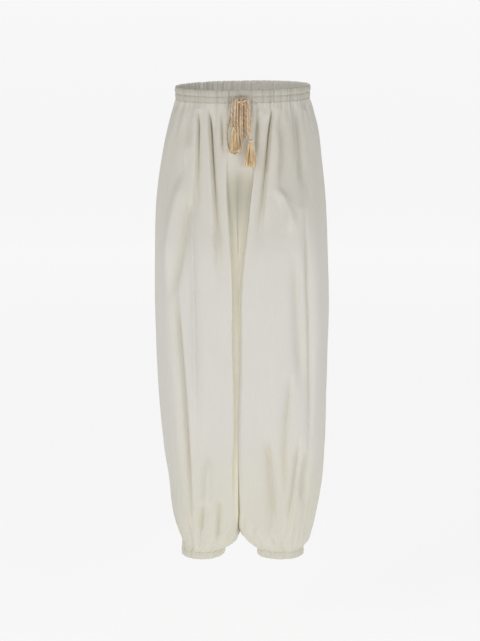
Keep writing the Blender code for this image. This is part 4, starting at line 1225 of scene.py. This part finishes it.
def drawstring_line(half):
    """Line of one half of the drawstring, from its buttonhole to its tassel.

    It goes through the knot, round its loop, through the knot again and down its free end.
    """
    straight = Vector((0, 0, STRAIGHT_END))
    first, second = half.loop_ports
    end_places = route_places(half.end)
    places = [half.hole + Vector((0, 0.0012, 0)), half.hole - Vector((0, STRAIGHT_END, 0))]
    places += [first + Vector((0, -0.0005, 0.0050)), first - straight]
    places += route_places(half.loop)
    places += [second - straight, second + Vector((0, -0.0010, 0.0050))]
    places += [half.end_port + Vector((0, 0.0004, 0.0055)), half.end_port - straight]
    places += end_places + [end_places[-1] - straight]
    return smooth_line(places)


def bow_turn(turn):
    """Line of one hanging turn of the bow: down, round a narrow bend, and up again."""
    top = KNOT_CENTRE.z + BOW_TOP
    middle = (turn.down_across + turn.up_across) / 2
    wide_of_middle = 1.1 * (turn.up_across - turn.down_across) / 2
    near_bend = turn.forward - BOW_SAG / 2
    places = [
        (0.4 * turn.down_across, KNOT_CENTRE.y, top),
        (0.9 * turn.down_across, turn.forward + BOW_SAG, top - BOW_SAG),
        (turn.down_across, turn.forward, -0.6 * turn.drop),
        (middle - wide_of_middle, near_bend, BOW_BEND - turn.drop),
        (middle, turn.forward - BOW_SAG, -turn.drop),
        (middle + wide_of_middle, near_bend, BOW_BEND - turn.drop),
        (turn.up_across, turn.forward, -0.6 * turn.drop),
        (0.9 * turn.up_across, turn.forward + BOW_SAG, top - BOW_SAG),
        (0.4 * turn.up_across, KNOT_CENTRE.y, top),
    ]
    line = smooth_line(places)
    return read_line(np.linspace(0, len(line) - 1, BOW_STATIONS), np.arange(len(line)), line)


def wound_turn(wind):
    """Line of the rope wound round the bundle: an ellipse that climbs and tilts."""
    turn = np.linspace(0, math.tau * WIND_TURNS, BOW_STATIONS)
    across = KNOT_CENTRE.x + wind.half_width * np.cos(turn)
    forward = KNOT_CENTRE.y + wind.half_depth * np.sin(turn)
    height = KNOT_CENTRE.z + wind.lift + wind.tilt * np.cos(turn) + WIND_CLIMB * turn / math.tau
    return np.stack([across, forward, height], axis=-1)


def make_knot(material):
    """Bow knot: rope turns wound round the bundle in front of the band, and its hanging turns."""
    rings = [rope_rings(bow_turn(turn), BOW_ROPE, HANGING_LAY) for turn in BOW_TURNS]
    rings += [rope_rings(wound_turn(wind), WIND_ROPE, WOUND_LAY) for wind in WINDS]
    joined_tubes("rope_knot", np.concatenate(rings), material, ["knot"])


def thread_rings(size, top, random):
    """Rings of a skirt's threads, which spread from the head and are drawn together into locks.

    Their roots lie on a sunflower spiral. Each thread moves towards the nearest lock by a sine of
    its way down. It spreads by a power of the way down, waves by sines, and is thinner at its tip.
    """
    share = np.sqrt((np.arange(THREADS_A_TASSEL) + 0.5) / THREADS_A_TASSEL)
    angle = np.arange(THREADS_A_TASSEL) * math.pi * (3 - math.sqrt(5))
    across = share * np.cos(angle)
    forward = share * np.sin(angle)
    locks = random.uniform(-1, 1, (2, LOCKS_A_TASSEL))
    locks *= 1.12 / np.maximum(1, np.hypot(*locks))
    nearest = np.hypot(across[:, None] - locks[0], forward[:, None] - locks[1]).argmin(axis=1)
    by_lock = np.argsort(nearest, kind="stable")
    across, forward, nearest = across[by_lock], forward[by_lock], nearest[by_lock]
    down = np.linspace(0, 1, THREAD_STATIONS)[None, :]
    drawn = LOCK_PULL * np.sin(math.pi * np.minimum(1, down * 0.62)) ** 0.8
    across = across[:, None] * (1 - drawn) + locks[0][nearest][:, None] * drawn
    forward = forward[:, None] * (1 - drawn) + locks[1][nearest][:, None] * drawn
    root = 0.82 * TASSEL_HEAD_RADIUS
    length = size.skirt_length * (1 - THREAD_SHORTENING * random.random(THREADS_A_TASSEL)[:, None])
    spread = 1 - (1 - down) ** SKIRT_OPENING_POWER
    curl = random.uniform(0, math.tau, (THREADS_A_TASSEL, 2))
    wave = THREAD_WAVE * down * np.sin(curl[:, :1] + down * 5.0)
    wave_forward = THREAD_WAVE_FORWARD * down * np.sin(curl[:, 1:] + down * 4.0)
    x = top.x + across * (root + (size.half_width - root) * spread) + wave
    y = top.y + forward * (root + (size.half_depth - root) * spread) + wave_forward
    y = y - size.lean * down**1.2
    z = top.z - TASSEL_HEAD_HEIGHT * 0.75 - (length - 0.002) * down
    turn = np.arange(4) * math.tau / 4
    radius = THREAD_RADIUS * (1 - 0.35 * (down > 0.97))
    ring = np.stack([np.cos(turn), np.sin(turn), np.zeros(4)], axis=-1)
    return np.stack([x, y, z], axis=-1)[:, :, None] + radius[:, :, None, None] * ring[None, None]


def head_rings(top):
    """Rings of a tassel's head: a turned outline, ribbed above and wound with thread below."""
    level = np.linspace(0, 1, 60)
    outline = smooth_between(level, *zip(*HEAD_PROFILE))
    wound = (level > 0.50) & (level < 0.80)
    outline = outline + wound * 0.05 * np.abs(np.sin(level * math.pi * 22))
    around = np.linspace(0, math.tau, 40, endpoint=False)[None, :]
    ribs = 1 + 0.035 * np.sin(around * 14) * (level < 0.5)[:, None]
    radius = TASSEL_HEAD_RADIUS * outline[:, None] * ribs
    height = (top.z - TASSEL_HEAD_HEIGHT * level)[:, None]
    places = np.broadcast_arrays(top.x + radius * np.cos(around), top.y + radius * np.sin(around), height)
    return np.stack(places, axis=-1)[None]


def make_tassel(leg, top, material, wrap_material):
    """Tassel: a turned head wound with thread, and a skirt of loose threads."""
    random = np.random.default_rng(21 + SIDES[leg])
    node = ["tassel_" + leg]
    skirt_rings = thread_rings(TASSELS[leg], top, random)
    skirt = joined_tubes("tassel_skirt_" + leg, skirt_rings, material, node)
    head = joined_tubes("tassel_head_" + leg, head_rings(top), wrap_material, node)
    return [skirt, head]


def make_stage():
    """Pale floor that curves up into a backdrop: a quarter circle joins the two."""
    material, _, shader = new_material("studio_paper")
    paper = {
        "Base Color": (0.30, 0.30, 0.30, 1.0),
        "Roughness": 0.9,
        "Specular IOR Level": 0.0,
        "Emission Color": (1.0, 1.0, 1.0, 1.0),
        "Emission Strength": 0.76,
    }
    fill_sockets(shader, paper)
    floor = -1.25
    reach = 9.0
    bend = 2.0
    turn = np.linspace(0, math.pi / 2, 24)
    forward = np.concatenate([[-reach], reach - bend + bend * np.sin(turn), [reach]])
    height = np.concatenate([[floor], floor + bend - bend * np.cos(turn), [9.0]])
    across = np.array([-12.0, 12.0])
    places = np.broadcast_arrays(across[None, :], forward[:, None], height[:, None])
    points = np.stack(places, axis=-1)
    mesh = mesh_from_grid("studio_sweep", points, points[..., :2])
    mesh.materials.append(material)
    sweep = bpy.data.objects.new("studio_sweep", mesh)
    bpy.context.scene.collection.objects.link(sweep)


def make_lights():
    """Even white surroundings, a soft light on each side in front and a low one in the middle."""
    world = bpy.data.worlds.new("studio")
    bpy.context.scene.world = world
    world.use_nodes = True
    white = {"Color": (1.0, 1.0, 1.0, 1.0), "Strength": SURROUNDINGS}
    fill_sockets(world.node_tree.nodes["Background"], white)
    for row in LIGHTS:
        data = bpy.data.lights.new(row.name, "AREA")
        data.size = row.size
        data.energy = row.power
        light = bpy.data.objects.new(row.name, data)
        light.location = row.place
        light.rotation_euler = turn_towards(row.place, row.target)
        bpy.context.scene.collection.objects.link(light)
    bpy.context.scene.view_settings.view_transform = "Standard"


make_camera()
rope = rope_material("tan_rope", (0.84, 0.66, 0.46), (0.46, 0.32, 0.18), 500.0)
loop_rope = rope_material("pale_rope", (0.82, 0.71, 0.55), (0.62, 0.49, 0.34), 500.0)
yarn = rope_material("golden_yarn", (1.0, 0.82, 0.53), (0.60, 0.42, 0.21), 7.0)
cotton = cotton_material("ivory_cotton", (0.79, 0.765, 0.71), 0.85, 0.00012, 0.96, with_painted_light_and_shade=True)
# The band is a darker copy of the cotton, painted shade, and its lining rows are paler, painted light
band_cotton_painted_light_and_shade = cotton_material(
    "ivory_cotton_band_painted_light_and_shade", (0.65, 0.625, 0.565), 0.88, 0.00012, 0.95, inside=(0.95, 0.915, 0.83)
)
# The cuffs are a darker, creamier copy of the cotton: painted shade
cuff_cotton_painted_shade = cotton_material("ivory_cotton_cuff_painted_shade", (0.765, 0.740, 0.630), 0.88, 0.00012, 0.95)
# The stitches' thread is a darker copy of the cotton: painted shade
thread = cotton_material("ivory_thread_painted_shade", (0.62, 0.60, 0.54), 0.7, 0.00005, 0.95)

make_knot(rope)
for leg, half in HALVES.items():
    line = drawstring_line(half)
    rings = rope_rings(line, CORD_DIAMETER, HANGING_LAY)
    cord = joined_tubes("rope_" + leg, rings, loop_rope, ["loop_" + leg, "end_" + leg])
    tassel = make_tassel(leg, Vector(line[-1]) - Vector((0, 0, SEAM_GAP)), yarn, rope)
for leg in SIDES:
    for face_name in FACES:
        make_panel(leg, face_name, cotton)
    make_cuff(leg, cuff_cotton_painted_shade, thread)
make_waistband(band_cotton_painted_light_and_shade, thread)
make_stage()
make_lights()
